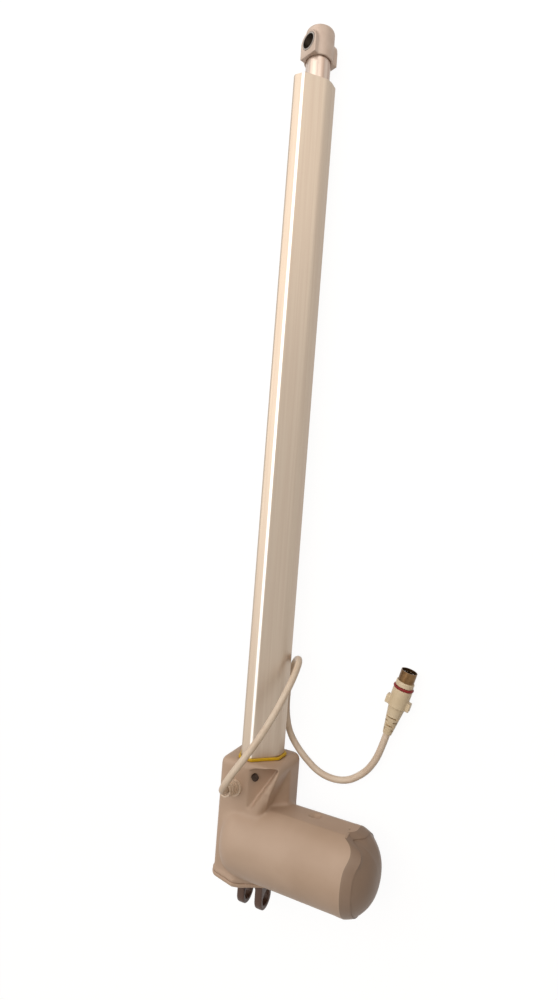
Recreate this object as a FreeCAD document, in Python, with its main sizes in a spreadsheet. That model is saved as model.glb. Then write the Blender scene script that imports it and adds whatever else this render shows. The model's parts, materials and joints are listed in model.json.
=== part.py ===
"""Pool lift actuator: a worm-driven linear actuator with a square tube, modelled lying on its side.

Pieces are drawn in the actuator's own frame: z runs along the spindle from the rear pin to the rod eye,
x along the motor, and -y is the upper side. The finished pieces are then laid down, so that +Y runs along
the spindle, +X along the motor and +Z points up, with the origin at the centre of the rear pin.
"""

import FreeCAD, Part
import math
import os
import re
import Sketcher

Vector = FreeCAD.Vector
Rotation = FreeCAD.Rotation
Placement = FreeCAD.Placement

# Driving dimensions in millimetres and degrees: name, value, what it sets
SIZES = [
    ("pin_bore", 12.2, "bore of the rear clevis and the rod eye"),
    ("fit", 0.02, "radial gap of pieces pressed or seated together"),
    ("running", 0.05, "radial gap of turning and sliding fits"),
    ("air_gap", 0.3, "gap between parts that pass each other"),
    # rear clevis
    ("clevis_gap", 10.0, "space between the two ears"),
    ("ear_thickness", 7.0, "thickness of one ear"),
    ("ear_radius", 10.0, "outer radius of an ear around its bore"),
    ("clevis_bridge", 5.0, "thickness of the bridge over the ears"),
    ("clevis_stem", 14.0, "diameter of the stem through the cover"),
    # gear housing
    ("cover_low", 16.0, "height of the cover's lower face over the rear pin"),
    ("cover_thickness", 3.5, "thickness of the bottom cover"),
    ("block_left", 29.0, "reach of the gear block away from the motor"),
    ("block_right", 26.0, "reach of the gear block towards the motor"),
    ("block_front", 27.0, "reach of the gear block to the upper side"),
    ("block_back", 24.0, "reach of the gear block to the lower side"),
    ("front_corner", 5.0, "radius of the block's upper corners"),
    ("back_corner", 8.0, "radius of the block's lower corners"),
    ("shoulder", 5.0, "radius of the block's top edge"),
    ("lip_height", 2.5, "height of the housing's share of the foot rim"),
    ("lip_proud", 1.2, "how far the foot rim stands proud of the block"),
    ("foot_bevel", 19.2, "reach of the foot's bevelled corner from the spindle"),
    ("foot_bevel_turn", 33.0, "turn of that bevel from the motor"),
    ("foot_bevel_height", 7.5, "height of that bevel over the cover"),
    ("rib_left_low", 9.0, "reach of the slanted rib's foot away from the motor"),
    ("rib_right_low", 10.5, "reach of the slanted rib's foot towards the motor"),
    ("rib_left_top", 17.5, "near side of the slanted rib's head towards the motor"),
    ("rib_low", 20.0, "rib's foot over the motor axis, inside the barrel"),
    ("rib_front_low", 30.5, "reach of the rib's foot to the upper side"),
    ("chamber", 28.2, "diameter of the gear chamber"),
    ("lock_nut_height", 6.0, "height of the spindle's lock nut"),
    ("passage_length", 20.0, "wall between the gear chamber and the tube's seat"),
    ("seat_depth", 14.0, "depth of the tube's seat in the gear block"),
    ("passage", 17.0, "diameter of the spindle's way into the tube"),
    # motor barrel
    ("barrel_wall", 5.2, "wall of the motor barrel"),
    ("motor_gap", 0.3, "gap between the motor and the barrel's bore where they come closest"),
    ("barrel_foot", 0.3, "gap between the barrel's lower side and the cover"),
    ("wheel_seat", 21.0, "height of the spindle's shoulder over the motor axis"),
    ("barrel_rise", 7.0, "offset of the barrel to the upper side"),
    ("barrel_left", 23.0, "reach of the barrel across the gear block"),
    ("barrel_round", 16.0, "radius of the barrel's closed end"),
    ("cap_over", 5.0, "how far the end cap reaches over the motor can"),
    ("bevel_diameter", 58.8, "diameter of the end cap in front of its bevel"),
    ("flat_depth", 1.6, "how far the barrel's flat lies inside its round"),
    ("motor_floor", 27.0, "where the motor's space starts"),
    ("cap_spigot", 3.0, "length of the end cap's spigot in the barrel"),
    ("spigot_wall", 2.6, "thickness of the end cap's spigot"),
    ("cap_skirt", 4.0, "length of the end cap at the barrel's full diameter"),
    ("cap_bevel", 8.0, "length of the end cap's bevel"),
    ("cap_dome", 8.5, "length of the end cap in front of its bevel"),
    ("cap_edge", 6.5, "edge radius of the end cap"),
    ("cap_cavity", 10.5, "depth of the end cap's cavity from the barrel's end"),
    ("notch_at", 49.0, "place of the latch notch along the barrel"),
    ("notch_length", 8.0, "length of the latch notch"),
    ("notch_width", 5.0, "width of the latch notch"),
    ("notch_depth", 1.6, "depth of the latch notch"),
    # worm drive
    ("worm_offset", 16.0, "centre distance of worm and wheel"),
    ("wheel_tip", 24.0, "tip diameter of the worm wheel"),
    ("wheel_width", 12.0, "face width of the worm wheel"),
    ("wheel_hub", 16.0, "diameter of the worm wheel's hub"),
    ("tooth_depth", 1.5, "depth of a tooth gap"),
    ("tooth_count", 30, "teeth on the worm wheel"),
    ("worm_length", 30.0, "length of the worm"),
    ("worm_tunnel", 15.0, "diameter of the worm's tunnel"),
    ("shaft_diameter", 5.0, "diameter of the motor shaft"),
    ("shaft_left", 25.5, "reach of the motor shaft across the gear block"),
    ("end_bush", 9.0, "outer diameter of the worm's end bush"),
    ("bush_length", 4.0, "length of the motor shaft's bushes"),
    # motor
    ("motor_diameter", 37.4, "outer diameter of the motor can"),
    ("can_wall", 1.6, "wall of the motor can"),
    ("bell_thickness", 4.0, "thickness of the motor's two end bells"),
    ("brush_room", 10.0, "motor can past its magnets, room for the brushes"),
    ("magnet_wall", 2.3, "thickness of the field magnets"),
    ("magnet_length", 42.0, "length of the field magnets"),
    ("magnet_at", 8.0, "field magnets from the can's front edge"),
    ("magnet_split", 10.0, "gap between the two field magnets"),
    ("core_short", 12.0, "how much shorter the armature core is than the magnets"),
    ("core_at", 14.0, "armature core from the can's front edge"),
    ("core_gap", 0.4, "gap between armature core and magnets"),
    ("core_slot", 2.0, "width of a slot in the armature core"),
    ("core_slot_floor", 9.0, "slot floor from the motor axis"),
    ("core_slots", 8, "slots in the armature core"),
    ("winding_diameter", 24.0, "diameter of the winding heads"),
    ("winding_length", 5.0, "length of a winding head"),
    ("commutator_diameter", 12.0, "diameter of the commutator"),
    ("commutator_length", 8.0, "length of the commutator"),
    ("card_thickness", 2.5, "thickness of the brush card"),
    ("card_gap", 3.0, "gap between brush card and commutator"),
    ("brush_length", 7.0, "length of a brush"),
    ("brush_width", 4.0, "width of a brush"),
    ("brush_height", 3.0, "height of a brush on its card"),
    ("brush_gap", 0.1, "gap between brush and commutator"),
    ("shaft_stub", 1.0, "motor shaft past its rear bush"),
    ("cradle_length", 14.0, "length of the rubber cradle"),
    # spindle and its bearings
    ("spindle_diameter", 12.0, "outer diameter of the spindle"),
    ("journal_diameter", 10.0, "diameter of the spindle's lower journal"),
    ("journal_low", 20.0, "height of the spindle's foot"),
    ("lower_bush", 16.0, "outer diameter of the spindle's lower bush"),
    ("boss_height", 6.5, "height of the cover's bush boss"),
    ("bearing_diameter", 28.0, "outer diameter of the spindle bearing"),
    ("bearing_width", 8.0, "width of the spindle bearing"),
    ("ring_wall", 2.05, "thickness of a bearing ring"),
    ("ball_count", 8, "balls in the spindle bearing"),
    # tube, rod and nut
    ("face_room", 2.5, "tube's wide face and back from the rod, wall included"),
    ("wire_room", 11.9, "tube's upper side from the rod, room for the sensor strip included"),
    ("side_room", 5.1, "tube's lower side from the rod"),
    ("tube_wall", 1.9, "wall of the tube"),
    ("tube_corner", 1.5, "edge radius of the tube"),
    ("bevel_deep", 6.7, "depth of the bevel on the upper side of the tube's wide face"),
    ("bevel_across", 6.4, "width that this bevel takes from the wide face"),
    ("edge_deep", 8.2, "depth of the bevel on the lower side of the tube's wide face"),
    ("edge_across", 9.0, "width that this bevel takes from the wide face"),
    ("taper_deep", 17.5, "depth of the tube's upper tapered side"),
    ("taper_across", 9.4, "width that the upper tapered side takes from the back"),
    ("slope_deep", 16.0, "depth of the tube's lower tapered side"),
    ("slope_across", 7.0, "width that the lower tapered side takes from the back"),
    ("tube_turn", -45.0, "turn of the tube about the spindle from the motor"),
    ("eye_turn", -22.0, "turn of the rod eye about the spindle from the motor"),
    ("gasket_height", 2.5, "height of the gasket on the gear block"),
    ("gasket_proud", 2.2, "how far the gasket stands out from the tube"),
    ("strip_width", 5.6, "width of the sensor strip"),
    ("strip_from_axis", 6.2, "sensor strip from the rod's middle plane"),
    ("strip_short", 39.0, "sensor strip's end from the tube's open end"),
    ("spindle_short", 21.0, "spindle's tip from the tube's open end"),
    ("nut_clear", 18.0, "rod's lower end over the gear block when drawn in"),
    ("wiper_length", 6.0, "length of the wiper seal"),
    ("guide_length", 28.0, "length of the rod guide"),
    ("rod_diameter", 22.0, "outer diameter of the rod"),
    ("rod_bore", 17.0, "bore of the rod"),
    ("nut_flange", 6.0, "thickness of the spindle nut's flange"),
    ("nut_length", 26.0, "length of the spindle nut inside the rod"),
    ("magnet_height", 3.0, "thickness of the position magnet"),
    ("flange_gap", 0.1, "nut flange and magnet inside the rod's outline"),
    ("magnet_bore_gap", 1.0, "gap between magnet and spindle"),
    ("strip_thickness", 1.6, "thickness of the sensor strip"),
    ("reed_diameter", 2.6, "diameter of a reed switch"),
    ("reed_length", 16.0, "length of a reed switch"),
    ("reed_inset", 12.0, "outer reed switches from the strip's ends"),
    # rod eye
    ("eye_height", 744.0, "height of the rod eye's bore over the rear pin"),
    ("eye_diameter", 25.6, "diameter of the rod eye"),
    ("eye_crown", 1.8, "edge radius of the rod eye's crown"),
    ("eye_foot", 13.0, "rod eye's foot from its bore"),
    ("eye_head", 14.0, "rod eye's crown from its bore"),
    ("tube_end_gap", 20.0, "rod that shows between tube and eye when drawn in"),
    ("eye_socket", 5.2, "depth of the rod in the eye"),
    ("eye_boss", 18.0, "diameter of the eye's bosses"),
    ("eye_left", 14.0, "reach of the eye's upper boss"),
    ("eye_right", 14.0, "reach of the eye's lower boss"),
    ("apron_low", 0.2, "eye's flat aprons from the eye's foot"),
    ("eye_bush", 14.4, "outer diameter of the eye's bush"),
    ("cross_pin", 3.0, "diameter of the pin through eye and rod"),
    ("cross_pin_inset", 0.5, "pin's ends inside the eye's outline"),
    # screws
    ("cover_screw", 3.0, "shank diameter of the cover screws"),
    ("screw_head", 6.0, "head diameter of the screws"),
    ("screw_head_height", 2.4, "head height of the screws"),
    ("pocket_drop", 5.0, "upper end of the block's slanted corner from the block's top"),
    ("tube_screw_drop", 11.0, "tube screw from the block's top"),
    ("cover_screw_x", 20.0, "cover screws from the spindle along the motor"),
    ("cover_screw_y", 16.0, "cover screws from the spindle across the motor"),
    ("cover_screw_reach", 16.0, "length of a cover screw"),
    ("pocket_floor", 18.5, "block's slanted corner from the spindle"),
    ("tube_screw_side", 14.0, "tube screw from the spindle along the tube's face"),
    # cable, gland and plug
    ("gland_x", -13.0, "place of the gland along the motor"),
    ("gland_drop", 22.5, "gland from the block's top"),
    ("gland_lean", 12.0, "lean of the gland's sleeve towards the tube"),
    ("gland_flange", 13.6, "diameter of the gland's flange"),
    ("gland_flange_height", 2.4, "thickness of the gland's flange"),
    ("gland_wide", 10.0, "diameter of the gland's sleeve at the flange"),
    ("gland_narrow", 8.6, "diameter of the gland's sleeve at its mouth"),
    ("gland_rib", 11.4, "diameter of the gland's ribs"),
    ("gland_rib_width", 1.4, "width of a rib on the gland"),
    ("gland_length", 16.5, "length of the gland along its lean"),
    ("gland_ribs", 3, "ribs on the gland"),
    ("gland_mouth", 10.4, "diameter of the rim around the gland's mouth"),
    ("gland_recess", 2.0, "depth of the gland's mouth"),
    ("cable_diameter", 5.8, "outer diameter of the cable"),
    ("boot_length", 24.6, "length of the plug's boot"),
    ("boot_wide", 14.0, "diameter of the boot at the collar"),
    ("boot_narrow", 7.4, "diameter of the boot at the cable"),
    ("boot_slits", 4, "rows of slits in the boot"),
    ("boot_slit_first", 4.0, "first row of slits from the boot's narrow end"),
    ("boot_slit_pitch", 3.6, "distance from one row of slits to the next"),
    ("boot_slit_width", 1.2, "width of a slit"),
    ("boot_core", 5.0, "thickness of the boot left between slits"),
    ("collar_diameter", 16.0, "diameter of the plug's collar"),
    ("collar_length", 22.6, "length of the plug's collar"),
    ("nose_diameter", 15.0, "diameter of the collar in front of the o-ring"),
    ("nose_length", 4.4, "length of the collar in front of the o-ring"),
    ("wing_span", 20.8, "width over the plug's finger wings"),
    ("wing_length", 7.0, "length of the finger wings along the plug"),
    ("wing_thickness", 7.0, "thickness of the finger wings"),
    ("o_ring_diameter", 17.1, "outer diameter of the plug's o-ring"),
    ("o_ring_section", 2.2, "section of the plug's o-ring"),
    ("shell_diameter", 13.3, "outer diameter of the plug's metal shell"),
    ("shell_wall", 0.6, "wall of the metal shell"),
    ("shell_length", 9.0, "length of the metal shell"),
    ("insert_length", 3.5, "length of the plug's insert"),
    ("contact_diameter", 1.4, "diameter of a contact pin"),
    ("contact_circle", 7.0, "diameter of the circle of contact pins"),
    ("contact_count", 7, "contact pins on the circle"),
    ("contact_reach", 4.0, "how far a contact pin stands out"),
]

# Cable route on the floor, from the gland to the plug: x, y and height over the floor
CABLE_ROUTE = [
    (-9.6, 110.6, 78.9),
    (-2.6, 122.7, 80.1),
    (6.5, 138.1, 73.7),
    (15.0, 155.0, 64.0),
    (21.5, 172.3, 54.2),
    (25.5, 188.2, 43.0),
    (26.5, 200.5, 30.9),
    (23.5, 207.5, 17.3),
    (15.5, 204.5, 6.8),
    (9.5, 192.0, 3.1),
    (7.5, 174.0, 2.9),
    (7.5, 154.0, 2.9),
    (12.5, 135.0, 2.9),
    (27.0, 119.0, 2.9),
    (45.5, 106.5, 2.9),
    (67.5, 106.5, 2.9),
    (84.0, 118.5, 3.4),
    (93.5, 132.5, 6.4),
]
# Straight stretch of cable out of the gland and into the plug
CABLE_OUT = 5.0
CABLE_IN = 12.0
# Where the cable enters the plug, and which way the plug points on the floor
PLUG_AT = (102.4, 159.1)
PLUG_TOWARDS = (0.265, 0.964)

# Sizes, and heights over the rear pin, that follow from the driving dimensions
DERIVED = {
    "can_length": "magnet_at + magnet_length + brush_room",
    "core_length": "magnet_length - core_short",
    "barrel_end": "motor_floor + bell_thickness + can_length - cap_over",
    "barrel_bore": "motor_diameter + 2 * (worm_offset - barrel_rise + motor_gap)",
    "barrel_diameter": "barrel_bore + 2 * barrel_wall",
    "barrel_flat": "barrel_diameter / 2 - flat_depth",
    "tube_thick": "rod_diameter + 2 * face_room",
    "barrel_height": "cover_low + cover_thickness + barrel_foot + barrel_diameter / 2",
    "journal_top": "barrel_height + wheel_seat",
    "chamber_top": "journal_top + lock_nut_height + bearing_width",
    "tube_low": "chamber_top + passage_length",
    "block_top": "tube_low + seat_depth",
    "pocket_top": "block_top - pocket_drop",
    "tube_screw_height": "block_top - tube_screw_drop",
    "gland_height": "block_top - gland_drop",
    "rod_low": "block_top + nut_clear",
    "eye_low": "eye_height - eye_foot",
    "eye_top": "eye_height + eye_head",
    "tube_top": "eye_low - tube_end_gap",
    "spindle_top": "tube_top - spindle_short",
    "strip_end": "tube_top - strip_short",
}

doc = FreeCAD.newDocument("pool_lift_actuator")
sheet = doc.addObject("Spreadsheet::Sheet", "sizes")
for row, (alias, amount, note) in enumerate(SIZES, start=1):
    sheet.set("A%d" % row, note)
    sheet.set("B%d" % row, str(amount))
    sheet.setAlias("B%d" % row, alias)
doc.recompute()

ALIASES = {alias for alias, _, _ in SIZES}
parts = []


def bound(text):
    """The expression with each size's name pointing at its cell and each derived height written out."""
    def resolve(match):
        word = match[0]
        if word in DERIVED:
            return "(%s)" % bound(DERIVED[word])
        return "sizes." + word if word in ALIASES else word
    return re.sub(r"[a-z_]+", resolve, text)


def num(text):
    """The value of an expression of sizes."""
    return float(sheet.evalExpression(bound(text)))


def place(feature, at, rotation=None):
    """Tie a feature's position to expressions of sizes."""
    feature.Placement = Placement(Vector(0, 0, 0), rotation or Rotation())
    for axis, text in zip("xyz", at):
        feature.setExpression("Placement.Base." + axis, bound(text))


ALONG = {
    "z": Rotation(),
    "x": Rotation(Vector(0, 1, 0), 90),
    "y": Rotation(Vector(1, 0, 0), -90),
    "-y": Rotation(Vector(1, 0, 0), 90),
}


def cylinder(name, diameter, length, at=("0", "0", "0"), along="z"):
    feature = doc.addObject("Part::Cylinder", name)
    feature.setExpression("Radius", bound("(%s) / 2" % diameter))
    feature.setExpression("Height", bound(length))
    place(feature, at, ALONG[along])
    return feature


def cone(name, first, last, length, at=("0", "0", "0"), along="z"):
    feature = doc.addObject("Part::Cone", name)
    feature.setExpression("Radius1", bound("(%s) / 2" % first))
    feature.setExpression("Radius2", bound("(%s) / 2" % last))
    feature.setExpression("Height", bound(length))
    place(feature, at, ALONG[along])
    return feature


def box(name, low, high):
    feature = doc.addObject("Part::Box", name)
    for side, start, end in zip(("Length", "Width", "Height"), low, high):
        feature.setExpression(side, bound("(%s) - (%s)" % (end, start)))
    place(feature, low)
    return feature


def fuse(name, *features):
    feature = doc.addObject("Part::MultiFuse", name)
    feature.Shapes = list(features)
    feature.Refine = True
    return feature


def cut(name, base, *tools):
    feature = doc.addObject("Part::Cut", name)
    feature.Base = base
    feature.Tool = tools[0] if len(tools) == 1 else fuse(name + "_tools", *tools)
    return feature


def group(name, features, turn=0.0):
    """Several shapes as one, turned about the spindle."""
    feature = doc.addObject("Part::Compound", name)
    feature.Links = list(features)
    feature.Placement = Placement(Vector(0, 0, 0), Rotation(Vector(0, 0, 1), turn))
    return feature


def ring(name, outer, inner, length, at=("0", "0", "0"), along="z"):
    return cut(
        name,
        cylinder(name + "_outside", outer, length, at, along),
        cylinder(name + "_inside", inner, length, at, along),
    )


def rounded(name, base, radius, wanted):
    """Fillet the edges of base that the function wanted picks."""
    doc.recompute()
    feature = doc.addObject("Part::Fillet", name)
    feature.Base = base
    size = num(radius)
    edges = enumerate(base.Shape.Edges, start=1)
    feature.Edges = [(index, size, size) for index, edge in edges if wanted(edge)]
    return feature


def upright(edge):
    low, high = edge.BoundBox.ZMin, edge.BoundBox.ZMax
    return edge.BoundBox.XLength < 1e-6 and edge.BoundBox.YLength < 1e-6 and high > low


def leg(own, other, grow):
    """One leg of a bevel whose line moves out by as much as the two sides beside it."""
    slant = "sqrt((%s) * (%s) + (%s) * (%s))" % (own, own, other, other)
    return "(%s) + (%s) * ((%s) + (%s) - %s) / (%s)" % (own, grow, own, other, slant, other)


def section_corners(grow):
    """Corners of the tube's section, grown on all sides: a wide face with two bevels, and tapered sides."""
    deep = "(tube_thick / 2 + (%s))" % grow
    low = "(-rod_diameter / 2 - wire_room - (%s))" % grow
    high = "(rod_diameter / 2 + side_room + (%s))" % grow
    bevel, across = leg("bevel_deep", "bevel_across", grow), leg("bevel_across", "bevel_deep", grow)
    taper, narrow = leg("taper_deep", "taper_across", grow), leg("taper_across", "taper_deep", grow)
    edge, edge_across = leg("edge_deep", "edge_across", grow), leg("edge_across", "edge_deep", grow)
    slope, slope_across = leg("slope_deep", "slope_across", grow), leg("slope_across", "slope_deep", grow)
    right = [
        (deep, "%s - (%s)" % (high, edge_across)),
        ("%s - (%s)" % (deep, edge), high),
        ("(%s) - %s" % (slope, deep), high),
        ("-%s" % deep, "%s - (%s)" % (high, slope_across)),
    ]
    left = [
        ("-%s" % deep, "%s + (%s)" % (low, narrow)),
        ("(%s) - %s" % (taper, deep), low),
        ("%s - (%s)" % (deep, bevel), low),
        (deep, "%s + (%s)" % (low, across)),
    ]
    return right + left


def section_prism(name, grow, low, high, corner):
    """A prism of the tube's grown section with rounded edges, in the tube's own turned frame."""
    sketch = doc.addObject("Sketcher::SketchObject", name + "_outline")
    sketch.setExpression("Placement.Base.z", bound(low))
    corners = section_corners(grow)
    spots = [Vector(num(x), num(y), 0) for x, y in corners]
    lines = []
    for first, second in zip(spots, spots[1:] + spots[:1]):
        lines.append(sketch.addGeometry(Part.LineSegment(first, second), False))
    for first, second in zip(lines, lines[1:] + lines[:1]):
        sketch.addConstraint(Sketcher.Constraint("Coincident", first, 2, second, 1))
    for line, spot, (x, y) in zip(lines, spots, corners):
        name_constraint(sketch, Sketcher.Constraint("DistanceX", line, 1, spot.x), "across_%d" % line, x)
        name_constraint(sketch, Sketcher.Constraint("DistanceY", line, 1, spot.y), "deep_%d" % line, y)
    prism = doc.addObject("Part::Extrusion", name + "_raw")
    prism.Base = sketch
    prism.DirMode = "Custom"
    prism.Dir = Vector(0, 0, 1)
    prism.Solid = True
    prism.setExpression("LengthFwd", bound("(%s) - (%s)" % (high, low)))
    return rounded(name, prism, corner, upright)


# How the actuator lies: it rests on the barrel and on the rod eye's lower boss
SLANT = math.radians(abs(num("eye_turn")))
barrel_below = num("barrel_diameter / 2 - barrel_rise")
eye_below = num("eye_right") * math.cos(SLANT) + num("eye_boss") / 2 * math.sin(SLANT)
TILT = math.atan2(barrel_below - eye_below, num("eye_height - barrel_height"))
LYING = Placement(Vector(0, 0, 0), Rotation(Vector(1, 0, 0), -90 - math.degrees(TILT)))
TUBE_FRAME = LYING * Placement(Vector(0, 0, 0), Rotation(Vector(0, 0, 1), num("tube_turn")))
EYE_FRAME = LYING * Placement(Vector(0, 0, 0), Rotation(Vector(0, 0, 1), num("eye_turn")))
FLOOR = (
    num("barrel_rise") * math.cos(TILT)
    - num("barrel_height") * math.sin(TILT)
    - num("barrel_diameter") / 2
)


def part(label, *features, frame=LYING):
    """Lay down the finished sub-part and list it under its name."""
    feature = doc.addObject("Part::Compound", label)
    feature.Links = list(features)
    feature.Label = label
    feature.Placement = frame
    parts.append(feature)
    return feature


def body_part(label, body, frame=LYING):
    body.Label = label
    body.Placement = frame
    parts.append(body)


def sketch_on(body, plane, name):
    sketch = body.newObject("Sketcher::SketchObject", name)
    support = [item for item in body.Origin.OriginFeatures if item.Role == plane][0]
    sketch.AttachmentSupport = [(support, "")]
    sketch.MapMode = "FlatFace"
    return sketch


def name_constraint(sketch, constraint, name, text):
    index = sketch.addConstraint(constraint)
    sketch.renameConstraint(index, name)
    sketch.setExpression("Constraints." + name, bound(text))


# Rear clevis: two ears under a bridge, with a stem up through the cover
def make_rear_clevis():
    outside = "clevis_gap / 2 + ear_thickness"
    bridge_low = "cover_low - clevis_bridge"
    ears = fuse(
        "clevis_blank",
        cylinder("clevis_round", "ear_radius * 2", "2 * (%s)" % outside, ("-(%s)" % outside, "0", "0"), "x"),
        box("clevis_arms", ("-(%s)" % outside, "-ear_radius", "0"), (outside, "ear_radius", "cover_low")),
        cylinder("clevis_post", "clevis_stem", "cover_thickness", ("0", "0", "cover_low")),
    )
    gap = box(
        "clevis_slot",
        ("-clevis_gap / 2", "-ear_radius * 2", "-ear_radius * 2"),
        ("clevis_gap / 2", "ear_radius * 2", bridge_low),
    )
    bore = cylinder("clevis_bore", "pin_bore", "4 * (%s)" % outside, ("-2 * (%s)" % outside, "0", "0"), "x")
    part("rear_clevis", cut("clevis_cut", ears, gap, bore))


# Gear housing: gear block and motor barrel in one moulding
BARREL = ("-barrel_rise", "barrel_height")


def foot_shape(name, proud, low, high):
    """A prism of the block's outline, proud on the upper and left sides, with its upper motor corner bevelled."""
    raw = box(
        name + "_raw",
        ("-block_left - (%s)" % proud, "-block_front - (%s)" % proud, low),
        ("block_right", "block_back", high),
    )
    corner = "front_corner + (%s)" % proud
    shape = rounded(name + "_front", raw, corner, lambda e: upright(e) and e.BoundBox.YMax < 0)
    shape = rounded(name + "_corners", shape, "back_corner", lambda e: upright(e) and straight_back(e))
    far = "4 * block_front"
    bevel = box(
        name + "_bevel_box",
        ("-" + far, "-" + far, "cover_low - 1"),
        (far, "-foot_bevel", "cover_low + cover_thickness + foot_bevel_height"),
    )
    return cut(name, shape, group(name + "_bevel", [bevel], num("foot_bevel_turn")))


def rib_shape():
    """A slanted rib from the barrel to the block's upper edge, across the block's slanted corner."""
    wedge = doc.addObject("Part::Wedge", "rib")
    limits = {
        "Xmin": "-rib_left_low", "Xmax": "rib_right_low",
        "X2min": "rib_left_top", "X2max": "block_right",
        "Ymin": "barrel_height + rib_low", "Ymax": "pocket_top",
        "Zmin": "0", "Zmax": "rib_front_low",
        "Z2min": "0", "Z2max": "block_front",
    }
    for limit, text in limits.items():
        setattr(wedge, limit, num(text))
        wedge.setExpression(limit, bound(text))
    wedge.Placement = Placement(Vector(0, 0, 0), Rotation(Vector(1, 0, 0), 90))
    return wedge


def make_gear_housing():
    floor = "cover_low + cover_thickness"
    block = foot_shape("block_blank", "0", floor, "block_top")
    top = num("block_top")
    block = rounded("block_shoulder", block, "shoulder", lambda e: e.BoundBox.ZMin > top - 1e-6)
    block = cut("block_slanted", block, corner_tool())
    lip = foot_shape("lip", "lip_proud", floor, "(%s) + lip_height" % floor)
    barrel = cylinder("barrel_raw", "barrel_diameter", "barrel_left + barrel_end", ("-barrel_left", *BARREL), "x")
    left = -num("barrel_left")
    barrel = rounded("barrel_closed_end", barrel, "barrel_round", lambda e: e.BoundBox.XMax < left + 1e-6)
    barrel = cut("barrel_shape", barrel, above_flat("barrel_above_flat"))
    shell = fuse("housing_shell", block, lip, barrel, rib_shape())
    tools = [
        cylinder("gear_chamber", "chamber", "chamber_top - (%s)" % floor, ("0", "0", floor)),
        cylinder("spindle_passage", "passage", "passage_length + 1", ("0", "0", "chamber_top - 0.5")),
        cylinder("motor_space", "barrel_bore", "barrel_end - motor_floor", ("motor_floor", *BARREL), "x"),
        cylinder("cap_seat", "barrel_bore + 2 * spigot_wall", "cap_spigot", ("barrel_end - cap_spigot", *BARREL), "x"),
        cylinder(
            "worm_tunnel",
            "worm_tunnel",
            "shaft_left - bush_length + motor_floor + 1",
            ("bush_length - shaft_left", "-worm_offset", "barrel_height"),
            "x",
        ),
        cylinder(
            "end_bush_seat",
            "end_bush + 2 * fit",
            "bush_length + 1",
            ("-shaft_left", "-worm_offset", "barrel_height"),
            "x",
        ),
        group("tube_seat", [section_prism("tube_seat_raw", "fit", "tube_low", "block_top + 1", "tube_corner")],
              num("tube_turn")),
        group("tube_screw_way", [tube_screw_shape("tube_screw_hole", "2 * fit")], num("tube_turn")),
        box(
            "latch_notch",
            ("notch_at", "-barrel_rise / 2", "barrel_height + barrel_flat - notch_depth"),
            ("notch_at + notch_length", "notch_width - barrel_rise / 2", "barrel_height + barrel_flat + notch_depth"),
        ),
    ]
    tools += cover_screw_shapes("cover_screw_hole", "2 * fit")
    part("gear_housing", cut("housing_cut", shell, *tools))


def above_flat(name):
    """What the flat along the barrel's side takes away."""
    return box(
        name,
        ("-barrel_diameter", "-barrel_rise - barrel_diameter", "barrel_height + barrel_flat"),
        ("barrel_end + barrel_diameter", "-barrel_rise + barrel_diameter", "barrel_height + barrel_diameter"),
    )


def straight_back(edge):
    """Upright edges at the block's square lower corners."""
    return edge.BoundBox.YMin > num("block_back") - 1e-6


def corner_tool():
    """What the block's slanted corner, parallel to the tube's wide face, takes away."""
    far = "4 * block_front"
    corner = box("corner_box", ("pocket_floor", "-" + far, "barrel_height + rib_low"), (far, far, "pocket_top"))
    return group("corner_tool", [corner], num("tube_turn"))


def tube_screw_shape(name, grow):
    """The tube screw's shank and head along the tube's wide face normal, in the tube's frame."""
    at = ("-tube_screw_side", "tube_screw_height")
    shank = cylinder(name + "_shank", "cover_screw + %s" % grow, "pocket_floor - tube_thick / 2",
                     ("tube_thick / 2", *at), "x")
    head = cylinder(name + "_head", "screw_head + %s" % grow, "screw_head_height", ("pocket_floor", *at), "x")
    return fuse(name, shank, head)


def cover_screw_shapes(name, grow):
    """Screws in the three corners of the cover that are not bevelled."""
    shapes = []
    for side, across in (("-", "-"), ("-", ""), ("", "")):
        at = (side + "cover_screw_x", across + "cover_screw_y")
        head = cylinder(name, "screw_head + %s" % grow, "screw_head_height", (*at, "cover_low"))
        shank = cylinder(name, "cover_screw + %s" % grow, "cover_screw_reach", (*at, "cover_low"))
        shapes.append(fuse(name, head, shank))
    return shapes


def make_bottom_cover():
    plate = foot_shape("cover_plate", "lip_proud", "cover_low", "cover_low + cover_thickness")
    boss = cylinder("cover_boss", "chamber - 2 * running", "boss_height",
                    ("0", "0", "cover_low + cover_thickness"))
    stem_hole = cylinder("stem_hole", "clevis_stem + 2 * fit", "cover_thickness", ("0", "0", "cover_low"))
    bush_seat = cylinder("bush_seat", "lower_bush + 2 * fit", "boss_height",
                         ("0", "0", "cover_low + cover_thickness"))
    holes = cover_screw_shapes("cover_hole", "2 * fit")
    part("bottom_cover", cut("cover_cut", fuse("cover_blank", plate, boss), stem_hole, bush_seat, *holes))
    part("cover_screws", *cover_screw_shapes("cover_screw_solid", "0"))


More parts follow.
